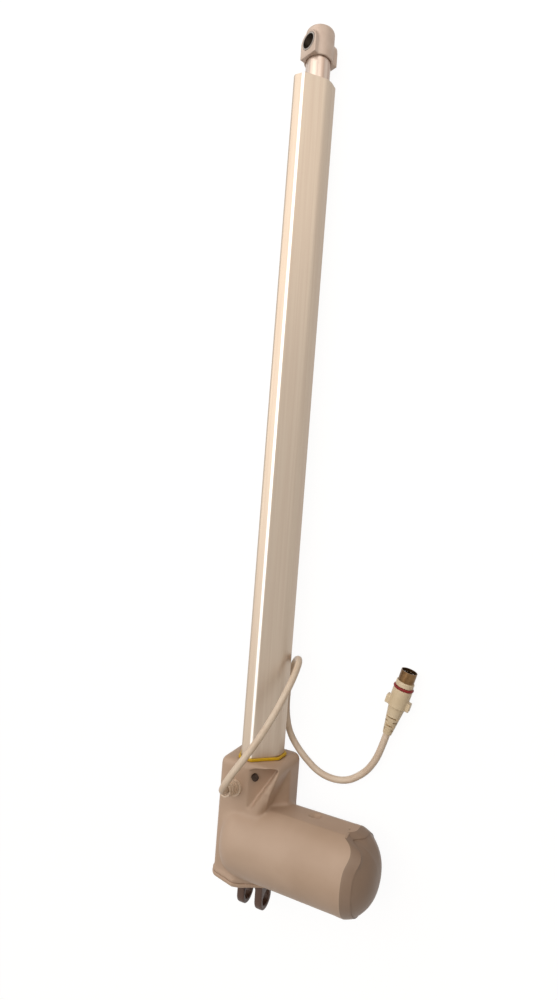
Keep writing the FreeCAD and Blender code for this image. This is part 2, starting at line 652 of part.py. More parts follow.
def make_end_cap():
    """A cap with a skirt of the barrel's diameter, a bevel and a round-edged end, hollow over the motor."""
    spigot = cylinder("cap_spigot", "barrel_bore + 2 * spigot_wall - 2 * fit", "cap_spigot",
                      ("barrel_end - cap_spigot", *BARREL), "x")
    skirt = cylinder("cap_skirt", "barrel_diameter", "cap_skirt", ("barrel_end", *BARREL), "x")
    bevel = cone("cap_bevel", "barrel_diameter", "bevel_diameter", "cap_bevel", ("barrel_end + cap_skirt", *BARREL), "x")
    dome_at = "barrel_end + cap_skirt + cap_bevel"
    dome = cylinder("cap_dome_raw", "bevel_diameter", "cap_dome", (dome_at, *BARREL), "x")
    end = num(dome_at + " + cap_dome")
    dome = rounded("cap_dome", dome, "cap_edge", lambda e: e.BoundBox.XMin > end - 1e-6)
    cavity = cylinder("cap_cavity", "barrel_bore", "cap_spigot + cap_cavity", ("barrel_end - cap_spigot", *BARREL), "x")
    blank = fuse("cap_blank", spigot, skirt, bevel, dome)
    part("motor_end_cap", cut("cap_shape", blank, cavity, above_flat("cap_above_flat")))


# Motor, in a rubber cradle inside the barrel
MOTOR = ("-worm_offset", "barrel_height")
CAN_START = "motor_floor + bell_thickness"
CAN_END = "motor_floor + bell_thickness + can_length"
MAGNETS_AT = "motor_floor + bell_thickness + magnet_at"
CORE_AT = "motor_floor + bell_thickness + core_at"
COMMUTATOR_AT = "motor_floor + bell_thickness + core_at + core_length + winding_length"


def make_motor():
    inside = "motor_diameter - 2 * can_wall"
    bush = "end_bush - 1"
    part("motor_can", ring("can", "motor_diameter", inside, "can_length", (CAN_START, *MOTOR), "x"))
    for label, start in (("motor_front_bell", "motor_floor"), ("motor_rear_bell", CAN_END)):
        part(label, ring(label + "_disc", "motor_diameter", bush + " + 2 * fit", "bell_thickness", (start, *MOTOR), "x"))
    for label, start in (("motor_front_bush", "motor_floor"), ("motor_rear_bush", CAN_END)):
        part(label, ring(label + "_sleeve", bush, "shaft_diameter + 2 * running", "bush_length", (start, *MOTOR), "x"))
    part("worm_end_bush", ring("end_sleeve", "end_bush", "shaft_diameter + 2 * running", "bush_length",
                               ("-shaft_left", *MOTOR), "x"))
    hoop = ring("magnet_hoop", inside + " - 2 * fit", inside + " - 2 * magnet_wall", "magnet_length",
                (MAGNETS_AT, *MOTOR), "x")
    split = box(
        "magnet_split",
        (MAGNETS_AT, "-worm_offset - motor_diameter", "barrel_height - magnet_split / 2"),
        (MAGNETS_AT + " + magnet_length", "-worm_offset + motor_diameter", "barrel_height + magnet_split / 2"),
    )
    part("field_magnets", cut("magnets", hoop, split))
    card_at = COMMUTATOR_AT + " + brush_height"
    part("brush_card", ring("card", inside + " - 2 * fit", "commutator_diameter + 2 * card_gap", "card_thickness",
                            (card_at, *MOTOR), "x"))
    brushes = []
    for side in ("+", "-"):
        inner = "barrel_height %s (commutator_diameter / 2 + brush_gap)" % side
        outer = "barrel_height %s (commutator_diameter / 2 + brush_gap + brush_length)" % side
        low, high = (outer, inner) if side == "-" else (inner, outer)
        brushes.append(box(
            "brush",
            (card_at + " - brush_height", "-worm_offset - brush_width / 2", low),
            (card_at, "-worm_offset + brush_width / 2", high),
        ))
    part("motor_brushes", *brushes)
    cradle_at = (CAN_START + " + can_length / 2",)
    cradle = cut(
        "cradle",
        cylinder("cradle_outside", "barrel_bore - 2 * fit", "cradle_length", (*cradle_at, "-barrel_rise", "barrel_height"), "x"),
        cylinder("cradle_inside", "motor_diameter + 2 * fit", "cradle_length", (*cradle_at, *MOTOR), "x"),
    )
    part("motor_cradle", cradle)


def make_armature():
    shaft_end = CAN_END + " + bell_thickness + shaft_stub"
    part("motor_shaft", cylinder("shaft", "shaft_diameter", "shaft_left + " + shaft_end, ("-shaft_left", *MOTOR), "x"))
    bore = "shaft_diameter + 2 * fit"
    worm_core = "2 * (worm_offset - wheel_tip / 2 - air_gap)"
    part("worm", ring("worm_core", worm_core, bore, "worm_length", ("-worm_length / 2", *MOTOR), "x"))
    core_diameter = "motor_diameter - 2 * (can_wall + magnet_wall + core_gap)"
    core = ring("core_round", core_diameter, bore, "core_length", (CORE_AT, *MOTOR), "x")
    slots = []
    for index in range(int(num("core_slots"))):
        slot = box("core_slot", (CORE_AT, "-core_slot / 2", "core_slot_floor"),
                   (CORE_AT + " + core_length", "core_slot / 2", "motor_diameter"))
        turned = doc.addObject("Part::Compound", "core_slot_turned")
        turned.Links = [slot]
        turn = Rotation(Vector(1, 0, 0), 360.0 * index / num("core_slots"))
        turned.Placement = Placement(Vector(0, -num("worm_offset"), num("barrel_height")), turn)
        slots.append(turned)
    part("armature_core", cut("core", core, *slots))
    heads = [
        ring("winding_head", "winding_diameter", bore, "winding_length", (start, *MOTOR), "x")
        for start in (CORE_AT + " - winding_length", CORE_AT + " + core_length")
    ]
    part("armature_windings", *heads)
    part("commutator", ring("commutator_ring", "commutator_diameter", bore, "commutator_length",
                            (COMMUTATOR_AT, *MOTOR), "x"))


# Spindle with its wheel and bearings
def make_spindle():
    journal = cylinder("journal", "journal_diameter", "journal_top - journal_low", ("0", "0", "journal_low"))
    screw = cylinder("screw", "spindle_diameter", "spindle_top - journal_top", ("0", "0", "journal_top"))
    part("spindle", fuse("spindle_whole", journal, screw))
    floor = "cover_low + cover_thickness"
    part("spindle_lower_bush", ring("lower_sleeve", "lower_bush", "journal_diameter + 2 * running", "boss_height",
                                    ("0", "0", floor)))
    bearing_at = ("0", "0", "chamber_top - bearing_width")
    part("bearing_outer_ring", ring("outer_race", "bearing_diameter", "bearing_diameter - 2 * ring_wall",
                                    "bearing_width", bearing_at))
    part("bearing_inner_ring", ring("inner_race", "spindle_diameter + 2 * ring_wall", "spindle_diameter + 2 * fit",
                                    "bearing_width", bearing_at))
    pitch = num("(bearing_diameter + spindle_diameter) / 4")
    balls = []
    for index in range(int(num("ball_count"))):
        ball = doc.addObject("Part::Sphere", "ball")
        ball.setExpression("Radius", bound("(bearing_diameter - spindle_diameter) / 4 - ring_wall - running"))
        angle = 2 * math.pi * index / num("ball_count")
        height = num("chamber_top - bearing_width / 2")
        ball.Placement = Placement(Vector(pitch * math.cos(angle), pitch * math.sin(angle), height), Rotation())
        balls.append(ball)
    part("bearing_balls", *balls)
    part("spindle_lock_nut", ring("lock_ring", "spindle_diameter + 2 * ring_wall", "spindle_diameter + 2 * fit",
                                  "lock_nut_height", ("0", "0", "journal_top")))
    make_worm_wheel(floor)


def make_worm_wheel(floor):
    """Toothed disc on a hub that reaches from the lower bush to the spindle's shoulder."""
    body = doc.addObject("PartDesign::Body", "worm_wheel")
    hub = sketch_on(body, "XY_Plane", "hub_outline")
    hub_low = "(%s) + boss_height + air_gap" % floor
    add_circles(hub, ("wheel_hub / 2", "journal_diameter / 2 + fit"))
    add_pad(body, hub, hub_low, "journal_top - (%s)" % hub_low)
    disc = sketch_on(body, "XY_Plane", "disc_outline")
    add_circles(disc, ("wheel_tip / 2", "journal_diameter / 2 + fit"))
    wheel_low = "barrel_height - wheel_width / 2"
    add_pad(body, disc, wheel_low, "wheel_width")
    gap = sketch_on(body, "XY_Plane", "tooth_gap")
    tip = num("wheel_tip / 2")
    half = num("wheel_tip * 3.14159 / tooth_count / 4")
    root = num("wheel_tip / 2 - tooth_depth")
    outline = [(root, -half * 0.6), (tip + 1, -half * 1.5), (tip + 1, half * 1.5), (root, half * 0.6)]
    for start, end in zip(outline, outline[1:] + outline[:1]):
        gap.addGeometry(Part.LineSegment(Vector(*start, 0), Vector(*end, 0)), False)
    gap.setExpression("AttachmentOffset.Base.z", bound(wheel_low))
    pocket = body.newObject("PartDesign::Pocket", "tooth_gap_cut")
    pocket.Profile = gap
    pocket.Reversed = True
    pocket.setExpression("Length", bound("wheel_width"))
    doc.recompute()
    before = body.Shape.Volume
    pattern = body.newObject("PartDesign::PolarPattern", "teeth")
    pattern.Originals = [pocket]
    pattern.Axis = ([item for item in body.Origin.OriginFeatures if item.Role == "Z_Axis"][0], [""])
    pattern.Angle = 360
    pattern.setExpression("Occurrences", bound("tooth_count"))
    body.Tip = pattern
    doc.recompute()
    if body.Shape.Volume >= before:
        raise RuntimeError("the tooth gaps cut nothing")
    body_part("worm_wheel", body)


def add_circles(sketch, radii):
    for index, text in enumerate(radii):
        circle = sketch.addGeometry(Part.Circle(Vector(0, 0, 0), Vector(0, 0, 1), num(text)), False)
        sketch.addConstraint(Sketcher.Constraint("Coincident", circle, 3, -1, 1))
        name_constraint(sketch, Sketcher.Constraint("Radius", circle, num(text)), "radius_%s" % "ab"[index], text)


def add_pad(body, sketch, low, length):
    sketch.setExpression("AttachmentOffset.Base.z", bound(low))
    pad = body.newObject("PartDesign::Pad", sketch.Name + "_pad")
    pad.Profile = sketch
    pad.setExpression("Length", bound(length))
    return pad


# Tube with what sits in and on it
def make_tube():
    tube = cut(
        "tube",
        section_prism("tube_outside", "0", "tube_low", "tube_top", "tube_corner"),
        section_prism("tube_inside", "-tube_wall", "tube_low", "tube_top", "tube_corner / 2"),
    )
    part("outer_tube", tube, frame=TUBE_FRAME)
    gasket_top = "block_top + gasket_height"
    gasket = cut(
        "gasket",
        section_prism("gasket_outside", "gasket_proud", "block_top", gasket_top, "tube_corner + gasket_proud"),
        section_prism("gasket_inside", "fit", "block_top", gasket_top, "tube_corner"),
    )
    part("tube_gasket", gasket, frame=TUBE_FRAME)
    wiper_low = "tube_top - wiper_length"
    guide_low = "tube_top - wiper_length - guide_length"
    for label, low, length in (("wiper_seal", wiper_low, "wiper_length"), ("rod_guide", guide_low, "guide_length")):
        high = "(%s) + %s" % (low, length)
        plug = section_prism(label + "_block", "-tube_wall - fit", low, high, "tube_corner / 2")
        bore = cylinder(label + "_bore", "rod_diameter + 2 * running", length, ("0", "0", low))
        part(label, cut(label + "_cut", plug, bore), frame=TUBE_FRAME)
    back = "-tube_thick / 2 + tube_wall"
    strip_low = "block_top + gasket_height"
    strip = box(
        "strip",
        (back, "-strip_from_axis - strip_width", strip_low),
        (back + " + strip_thickness", "-strip_from_axis", "strip_end"),
    )
    part("sensor_strip", strip, frame=TUBE_FRAME)
    spot = (back + " + strip_thickness + reed_diameter / 2", "-strip_from_axis - strip_width / 2 - reed_diameter / 2")
    heights = (
        strip_low + " + reed_inset",
        "(%s + strip_end) / 2" % strip_low,
        "strip_end - reed_inset - reed_length",
    )
    reeds = [cylinder("reed", "reed_diameter", "reed_length", (*spot, height)) for height in heights]
    part("reed_switches", *reeds, frame=TUBE_FRAME)
    part("tube_screw", tube_screw_shape("tube_screw_solid", "0"), frame=TUBE_FRAME)


# Rod with its nut and eye
def make_rod():
    rod_length = "eye_low + eye_socket - rod_low"
    part("rod_tube", cut(
        "rod",
        cylinder("rod_outside", "rod_diameter", rod_length, ("0", "0", "rod_low")),
        cylinder("rod_inside", "rod_bore", rod_length, ("0", "0", "rod_low")),
        cross_pin_shape("rod_pin_hole", "2 * fit"),
    ), frame=EYE_FRAME)
    nut_low = ("0", "0", "rod_low - nut_flange")
    flange = cylinder("nut_flange", "rod_diameter - 2 * flange_gap", "nut_flange", nut_low)
    sleeve = cylinder("nut_sleeve", "rod_bore - 2 * fit", "nut_length", ("0", "0", "rod_low"))
    bore = cylinder("nut_bore", "spindle_diameter + 2 * running", "nut_flange + nut_length", nut_low)
    part("spindle_nut", cut("nut", fuse("nut_blank", flange, sleeve), bore), frame=EYE_FRAME)
    magnet = ring("magnet_ring", "rod_diameter - 2 * flange_gap", "spindle_diameter + 2 * magnet_bore_gap",
                  "magnet_height", ("0", "0", "rod_low - nut_flange - magnet_height"))
    part("position_magnet", magnet, frame=EYE_FRAME)


def cross_pin_shape(name, grow):
    height = "eye_low + eye_socket / 2"
    start = "cross_pin_inset - eye_diameter / 2"
    return cylinder(name, "cross_pin + " + grow, "eye_diameter - 2 * cross_pin_inset", (start, "0", height), "x")


def make_rod_eye():
    """Round-topped barrel with a flat-faced boss each side of the bore, the pin lying along y of the eye's frame."""
    stem = cylinder("eye_stem", "eye_diameter", "eye_top - eye_low", ("0", "0", "eye_low"))
    top = num("eye_top")
    stem = rounded("eye_dome", stem, "eye_crown", lambda e: e.BoundBox.ZMin > top - 1e-6)
    length = "eye_left + eye_right"
    through = ("0", "-eye_left", "eye_height")
    boss = cylinder("eye_bosses", "eye_boss", length, through, "y")
    apron = box("eye_aprons", ("-eye_boss / 2", "-eye_left", "eye_low + apron_low"),
                ("eye_boss / 2", "eye_right", "eye_height"))
    socket = cylinder("eye_socket", "rod_diameter + 2 * fit", "eye_socket", ("0", "0", "eye_low"))
    bush_hole = cylinder("eye_bush_hole", "eye_bush + 2 * fit", length, through, "y")
    part("rod_eye", cut("eye", fuse("eye_blank", stem, boss, apron), socket, bush_hole,
                        cross_pin_shape("eye_pin_hole", "2 * fit")), frame=EYE_FRAME)
    part("eye_bush", ring("eye_sleeve", "eye_bush", "pin_bore", length, through, "y"), frame=EYE_FRAME)
    part("eye_cross_pin", cross_pin_shape("cross_pin_solid", "0"), frame=EYE_FRAME)


# Cable with its gland and plug
def gland_place():
    """The foot of the gland's leaning sleeve, with z along the sleeve."""
    foot = Vector(num("gland_x"), -num("block_front"), num("gland_height"))
    return Placement(foot, Rotation(Vector(1, 0, 0), 90 - num("gland_lean")))


def make_gland():
    """A flange on the block and a ribbed, slightly leaning sleeve with a rimmed mouth."""
    flange = cylinder("gland_flange", "gland_flange", "gland_flange_height",
                      ("gland_x", "-block_front", "gland_height"), "-y")
    start = "gland_flange_height / 2"
    sleeve = cone("gland_cone", "gland_wide", "gland_narrow", "gland_length - " + start, ("0", "0", start))
    step = "(gland_length - gland_flange_height) / (gland_ribs + 1)"
    ribs = []
    for index in range(int(num("gland_ribs"))):
        height = "gland_flange_height + (%d + 0.5) * %s" % (index, step)
        ribs.append(cylinder("gland_ring", "gland_rib", "gland_rib_width", ("0", "0", height)))
    rim = cylinder("gland_rim", "gland_mouth", "gland_recess", ("0", "0", "gland_length - gland_recess"))
    mouth = cylinder("gland_recess", "gland_narrow - 2 * air_gap", "gland_recess",
                     ("0", "0", "gland_length - gland_recess"))
    leaning = group("gland_leaning", [cut("gland_sleeve", fuse("gland_blank", sleeve, rim, *ribs), mouth)])
    leaning.Placement = gland_place()
    part("cable_gland", fuse("gland", flange, leaning))


def cable_points():
    """The route's points: out of the gland, along the list and into the plug's boot."""
    seat = num("gland_length - gland_recess")
    sleeve = LYING * gland_place()
    out = [sleeve.multVec(Vector(0, 0, seat + step)) for step in (0.0, num("gland_recess") + CABLE_OUT)]
    route = [Vector(x, y, FLOOR + height) for x, y, height in CABLE_ROUTE]
    plug = plug_place()
    return out + route + [plug.multVec(Vector(0, 0, -CABLE_IN)), plug.Base]


def plug_place():
    """The plug lies on its o-ring, with z along it from the boot to the shell."""
    heading = Vector(*PLUG_TOWARDS, 0)
    spot = Vector(*PLUG_AT, FLOOR + num("o_ring_diameter") / 2)
    across = Vector(0, 0, 1).cross(heading)
    return Placement(spot, Rotation(across, Vector(0, 0, 1), heading, "ZYX"))


def make_cable():
    """A round tube along straight runs joined by arcs as large as the runs allow."""
    points = cable_points()
    edges = []
    start = points[0]
    radii = []
    for before, corner, after in zip(points, points[1:], points[2:]):
        into = (corner - before).normalize()
        out = (after - corner).normalize()
        turn = into.getAngle(out)
        reach = 0.45 * min((corner - before).Length, (after - corner).Length)
        radii.append(reach / math.tan(turn / 2))
        first = corner - into * reach
        last = corner + out * reach
        bulge = (out - into).normalize() * (radii[-1] / math.cos(turn / 2) - radii[-1])
        edges += [Part.LineSegment(start, first).toShape(), Part.Arc(first, corner + bulge, last).toShape()]
        start = last
    edges.append(Part.LineSegment(start, points[-1]).toShape())
    path = Part.Wire(edges)
    ends = Part.Circle(points[0], points[1] - points[0], num("cable_diameter") / 2).toShape()
    tube = path.makePipeShell([Part.Wire(ends)], True, False, 2)
    feature = doc.addObject("Part::Feature", "cable")
    feature.Shape = tube
    feature.Label = "cable"
    parts.append(feature)
    expected = path.Length * math.pi * num("cable_diameter") ** 2 / 4
    print("cable length %.1f mm, volume over section times length %.5f" % (path.Length, tube.Volume / expected))
    print("cable bend radii mm:", " ".join("%.1f" % radius for radius in radii))


def make_plug():
    frame = plug_place()
    boot = cone("boot_body", "boot_narrow", "boot_wide", "boot_length")
    slits = []
    for row in range(int(num("boot_slits"))):
        low = "boot_slit_first + %d * boot_slit_pitch" % row
        high = low + " + boot_slit_width"
        inner, outer = "boot_core / 2", "boot_wide"
        if row % 2:
            spans = ((("-boot_wide", inner), ("boot_wide", outer)), (("-boot_wide", "-" + outer), ("boot_wide", "-" + inner)))
        else:
            spans = (((inner, "-boot_wide"), (outer, "boot_wide")), (("-" + outer, "-boot_wide"), ("-" + inner, "boot_wide")))
        slits += [box("boot_slit", (*first, low), (*last, high)) for first, last in spans]
    part("plug_boot", cut("boot", boot, *slits), frame=frame)
    front = "boot_length + collar_length"
    body = cylinder("collar_round", "collar_diameter", "collar_length - nose_length", ("0", "0", "boot_length"))
    nose = cylinder("collar_nose", "nose_diameter", "nose_length", ("0", "0", front + " - nose_length"))
    wings = box("collar_wings", ("-wing_span / 2", "-wing_thickness / 2", "boot_length"),
                ("wing_span / 2", "wing_thickness / 2", "boot_length + wing_length"))
    groove_at = front + " - nose_length - o_ring_section"
    groove = ring("collar_groove", "o_ring_diameter", "o_ring_diameter - 2 * o_ring_section", "o_ring_section",
                  ("0", "0", groove_at))
    part("plug_collar", cut("collar", fuse("collar_blank", body, nose, wings), groove), frame=frame)
    o_ring = doc.addObject("Part::Torus", "o_ring")
    o_ring.setExpression("Radius1", bound("o_ring_diameter / 2 - o_ring_section / 2"))
    o_ring.setExpression("Radius2", bound("o_ring_section / 2 - fit"))
    place(o_ring, ("0", "0", groove_at + " + o_ring_section / 2"))
    part("plug_o_ring", o_ring, frame=frame)
    inside = "shell_diameter - 2 * shell_wall"
    shell = ring("shell_tube", "shell_diameter", inside, "shell_length", ("0", "0", front))
    part("plug_shell", shell, frame=frame)
    part("plug_insert", cylinder("insert", inside + " - 2 * fit", "insert_length", ("0", "0", front)), frame=frame)
    contacts = []
    for index in range(int(num("contact_count"))):
        angle = 360.0 * index / num("contact_count")
        contacts.append(cylinder(
            "contact",
            "contact_diameter",
            "contact_reach",
            ("contact_circle / 2 * cos(%.4f deg)" % angle, "contact_circle / 2 * sin(%.4f deg)" % angle,
             front + " + insert_length"),
        ))
    part("plug_pins", *contacts, frame=frame)


make_rear_clevis()
make_gear_housing()
make_bottom_cover()
make_end_cap()
make_motor()
make_armature()
make_spindle()
make_tube()
make_rod()
make_rod_eye()
make_gland()
make_cable()
make_plug()
doc.recompute()

# Nothing is written unless every object is sound
for item in doc.Objects:
    if "Invalid" in item.State or "Error" in item.State:
        raise RuntimeError("%s failed: %s" % (item.Label, item.State))
for item in parts:
    if item.Shape.isNull() or not item.Shape.isValid() or not item.Shape.Solids:
        raise RuntimeError("%s has no sound shape" % item.Label)
os.makedirs("parts", exist_ok=True)
for item in parts:
    item.Shape.exportStep("parts/%s.step" % item.Label)
print("%d parts, lying tilt %.4f degrees, floor at %.3f mm" % (len(parts), math.degrees(TILT), FLOOR))
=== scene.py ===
"""Looks of the pool lift actuator: softened mouldings, finishes for every piece, cable, studio and camera."""

import json
import math

import bmesh
import bpy
import numpy as np
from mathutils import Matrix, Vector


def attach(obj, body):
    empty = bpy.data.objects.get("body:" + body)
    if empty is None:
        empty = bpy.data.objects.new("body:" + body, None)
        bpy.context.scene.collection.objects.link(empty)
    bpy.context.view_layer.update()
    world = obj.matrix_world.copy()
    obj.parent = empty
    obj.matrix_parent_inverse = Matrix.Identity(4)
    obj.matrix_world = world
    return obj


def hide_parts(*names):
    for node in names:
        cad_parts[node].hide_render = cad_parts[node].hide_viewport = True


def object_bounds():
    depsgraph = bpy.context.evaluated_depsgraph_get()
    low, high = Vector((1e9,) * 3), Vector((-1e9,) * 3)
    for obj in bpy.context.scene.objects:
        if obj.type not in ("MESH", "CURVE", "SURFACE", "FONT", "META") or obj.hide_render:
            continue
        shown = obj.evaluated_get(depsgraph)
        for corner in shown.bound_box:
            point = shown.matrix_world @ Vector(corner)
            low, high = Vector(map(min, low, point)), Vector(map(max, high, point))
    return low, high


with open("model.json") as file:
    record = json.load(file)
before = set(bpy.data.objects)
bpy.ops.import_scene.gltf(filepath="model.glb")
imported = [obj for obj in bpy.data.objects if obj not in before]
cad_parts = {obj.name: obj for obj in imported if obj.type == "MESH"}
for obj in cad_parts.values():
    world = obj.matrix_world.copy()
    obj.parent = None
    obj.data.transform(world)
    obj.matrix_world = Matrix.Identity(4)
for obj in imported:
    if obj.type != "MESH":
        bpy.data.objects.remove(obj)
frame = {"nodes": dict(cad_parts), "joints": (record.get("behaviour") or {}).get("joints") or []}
nodes = frame["nodes"]
CAD_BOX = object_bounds()
FLOOR = CAD_BOX[0][2]

MM = 0.001
SLIDE_AXIS = next(joint["axis"] for joint in frame["joints"] if joint["name"] == "rod_slide")
LEAN = math.atan2(-SLIDE_AXIS[2], SLIDE_AXIS[1])

# Shapes are in millimetres across, along and above the spindle. Camera, cable and studio are in metres.

# Softening: the distance at which points merge, and how far a point goes towards its neighbours' middle
MERGE = 0.001
HALF_WAY = 0.5

# Motor barrel: its axis along and above the spindle, its radius, its flat's distance from the axis, its end
BARREL_ALONG = 53.0
BARREL_RISE = 7.0
BARREL_RADIUS = 33.2
BARREL_FLAT = 31.6
BARREL_END = 86.0

# End cap: its skirt's start, how far it stands proud of the barrel, its wall, and the angle of a sharp edge
CAP_START = 84.6
CAP_PROUD = 0.1
CAP_WALL = 2.6
CAP_CREASE = math.radians(40)
# Its rolled rim: end, length, drop and the drop's power, then its bulge and dip as reach, angle and width
RIM_END = 98.0
RIM_LENGTH = 8.0
RIM_DROP = 3.0
RIM_POWER = 1.25
RIM_BULGE = (3.0, math.radians(46), math.radians(15))
RIM_DIP = (8.0, math.radians(74), math.radians(11))
# The groove inside the rim: its depth, and its walls' lean as shares of the depth
GROOVE = 0.35
GROOVE_OUTER = 0.4
GROOVE_INNER = 0.3
# Its crown: end, the power of its rise and the power by which the rim's waves fade on it
CROWN_END = 110.5
CROWN_POWER = 2.7
RIM_FADE = 14.0
# Its grid: points in a ring, rings of rim and crown, and the least sine that the flat is worked out for
CAP_POINTS = 240
RIM_RINGS = 12
CROWN_RINGS = 28
LEAST_SINE = 0.01

# Housing: face size, rounds of softening and the height of its front
HOUSING_CELL = 1.1
HOUSING_ROUNDS = 9
BLOCK_FRONT = 27.0

# Rib: its stretch along the spindle, its right edge at both ends, and its fall's left end and right margin
RIB_LOW = 73.0
RIB_HIGH = 117.0
RIB_RIGHT_LOW = 10.5
RIB_RIGHT_HIGH = 26.0
RIB_LEFT = -14.0
RIB_MARGIN = 1.0
# Its foot's fall: width, depth and the stretch along which it dies away
RIB_EASE = 5.0
RIB_FALL = 5.0
RIB_EASE_LOW = 86.0
RIB_EASE_HIGH = 101.0

# Screw pocket: its floor's height over the spindle's line, its three sides, and the slants of two of them
POCKET_PLANE = 26.16
POCKET_LOW = 85.0
POCKET_LEFT = -1.0
POCKET_RIGHT = 2.5
POCKET_SLANT = 0.58
POCKET_RISE = 0.2

# Latch notch in the barrel's flat: its middle, its half sizes, its depth and the skin that it moves
NOTCH_ACROSS = 53.0
NOTCH_HIGH = 4.5
NOTCH_HALF_WIDTH = 4.2
NOTCH_HALF_HEIGHT = 2.6
NOTCH_DEPTH = 1.8
NOTCH_SKIN = 2.5

# What stays sharp on the housing: its foot from the cover's plane up, its barrel before the end
FOOT_SHARP = (0.3, 4.0)
END_SHARP = (4.0, 0.5)
# And by a share, the barrel's flat and the corner with the pocket
FLAT_KEPT = 0.9
FLAT_ACROSS = (24.0, 32.0)
FLAT_ALONG = (76.0, 80.0)
POCKET_KEPT = 0.5
CORNER_ACROSS = (-6.0, 24.0)
CORNER_ALONG = 84.0
CORNER_HIGH = 6.0

# Foot: the cover's plane, the underside's rise, its start and width, and where it fades up the block
COVER_PLANE = 19.5
FOOT_LIFT = 5.5
LIFT_START = 3.0
LIFT_WIDTH = 26.0
LIFT_FADE = (2.0, 16.0)
# Cover: face size and rounds of softening
COVER_CELL = 0.6
COVER_ROUNDS = 5

# Clevis: face size, rounds of softening, and the bridge between its ears and the cover
CLEVIS_CELL = 0.6
CLEVIS_ROUNDS = 10
BRIDGE_LOW = 10.6
BRIDGE_TOP = 15.0

# Collar, gasket and eye: face sizes and rounds of softening
COLLAR_CELL = 0.35
COLLAR_ROUNDS = 8
GASKET_CELL = 0.35
GASKET_ROUNDS = 12
EYE_CELL = 0.5
EYE_ROUNDS = 5

# Tube's section, turned an eighth: corners, edge radii, wall, the end's edge and the angle of a sharp edge
TUBE_CORNERS = [
    (13.5, 7.1),
    (5.3, 16.1),
    (2.5, 16.1),
    (-13.5, 9.1),
    (-13.5, -13.5),
    (4.0, -22.9),
    (6.8, -22.9),
    (13.5, -16.5),
]
TUBE_RADII = [14.0, 4.0, 1.5, 1.5, 1.5, 2.0, 2.0, 1.6]
TUBE_WALL = 1.9
TUBE_EASE = 0.35
TUBE_CREASE = math.radians(30)
# Points in a corner, and the most of a side that a corner takes up
TUBE_STEPS = 12
TUBE_REACH = 0.45

# Painted highlight along the tube's upper ridge: its line, its bright half width, its fade's end and its tone
TUBE_RIDGE = (-3.4, 21.2)
RIDGE_BRIGHT = 0.5
RIDGE_FADE = 1.7
RIDGE_HIGHLIGHT_TONE = "#fffdf8"

# Finishes: detail of clouds and grain, the clouds' values for dark and light, and the streaks of two metals
CLOUD_DETAIL = 3.0
GRAIN_DETAIL = 2.0
TONE_DARK = 0.35
TONE_LIGHT = 0.65
TUBE_STREAKS = (1, 0.008, 1)
ROD_STREAKS = (1, 0.006, 1)

# Camera of the picture: place, turn in degrees, focal length as a share of the picture's height
CAMERA_PLACE = (0.22867, 0.34818, 0.47069)
CAMERA_TURN = (1.6245, 26.1659, 4.546)
FOCAL_SHARE = 0.6
SENSOR = 36.0

# Cable: route from the gland's mouth to the plug's boot, the last number being height over the floor
CABLE_DIAMETER = 0.0058
CABLE_ROUTE = [
    (-0.0130, 0.10309, 0.06667),
    (-0.0130, 0.10464, 0.07350),
    (-0.0096, 0.1106, 0.0789),
    (-0.0026, 0.1227, 0.0801),
    (0.0065, 0.1381, 0.0737),
    (0.0150, 0.1550, 0.0640),
    (0.0215, 0.1723, 0.0542),
    (0.0255, 0.1882, 0.0430),
    (0.0265, 0.2005, 0.0309),
    (0.0235, 0.2075, 0.0173),
    (0.0155, 0.2045, 0.0068),
    (0.0095, 0.1920, 0.0031),
    (0.0075, 0.1740, 0.0029),
    (0.0075, 0.1540, 0.0029),
    (0.0125, 0.1350, 0.0029),
    (0.0270, 0.1190, 0.0029),
    (0.0455, 0.1065, 0.0029),
    (0.0675, 0.1065, 0.0029),
    (0.0840, 0.1185, 0.0034),
    (0.0935, 0.1325, 0.0064),
    (0.09922, 0.14753, 0.00855),
    (0.1024, 0.1591, 0.00855),
]

# Studio: the floor's half width, its paint, its shade and glow for the camera, and the light from all sides
FLOOR_HALF = 4.0
FLOOR_PAINT = "#a89f96"
FLOOR_SHADE = "#5c5a58"
FLOOR_GLOW = 0.94
BACKDROP = "#ffffff"
SKY_TINT = "#fff0da"
SKY_STRENGTH = 0.26
# Lamps: place, aim, side, watts and tint
LAMPS = {
    "key_lamp": ((-0.6, 1.2, 1.9), (0.0, 0.35, 0.0), 3.0, 40.0, "#fffaf5"),
    "far_lamp": ((0.75, 1.25, 0.6), (0.0, 0.65, 0.0), 0.8, 2.2, "#fff6ec"),
}


def linear(text, alpha=1.0):
    """An sRGB hex colour as linear red, green, blue and alpha."""
    channels = [int(text[i:i + 2], 16) / 255 for i in (1, 3, 5)]
    return [c / 12.92 if c <= 0.04045 else ((c + 0.055) / 1.055) ** 2.4 for c in channels] + [alpha]


def add(tree, kind, values=None, links=None, **settings):
    """One shader node with its settings, socket values and incoming links."""
    node = tree.nodes.new("ShaderNode" + kind)
    for name, value in settings.items():
        setattr(node, name, value)
    for socket, value in (values or {}).items():
        node.inputs[socket].default_value = value
    for socket, source in (links or {}).items():
        tree.links.new(source, node.inputs[socket])
    return node


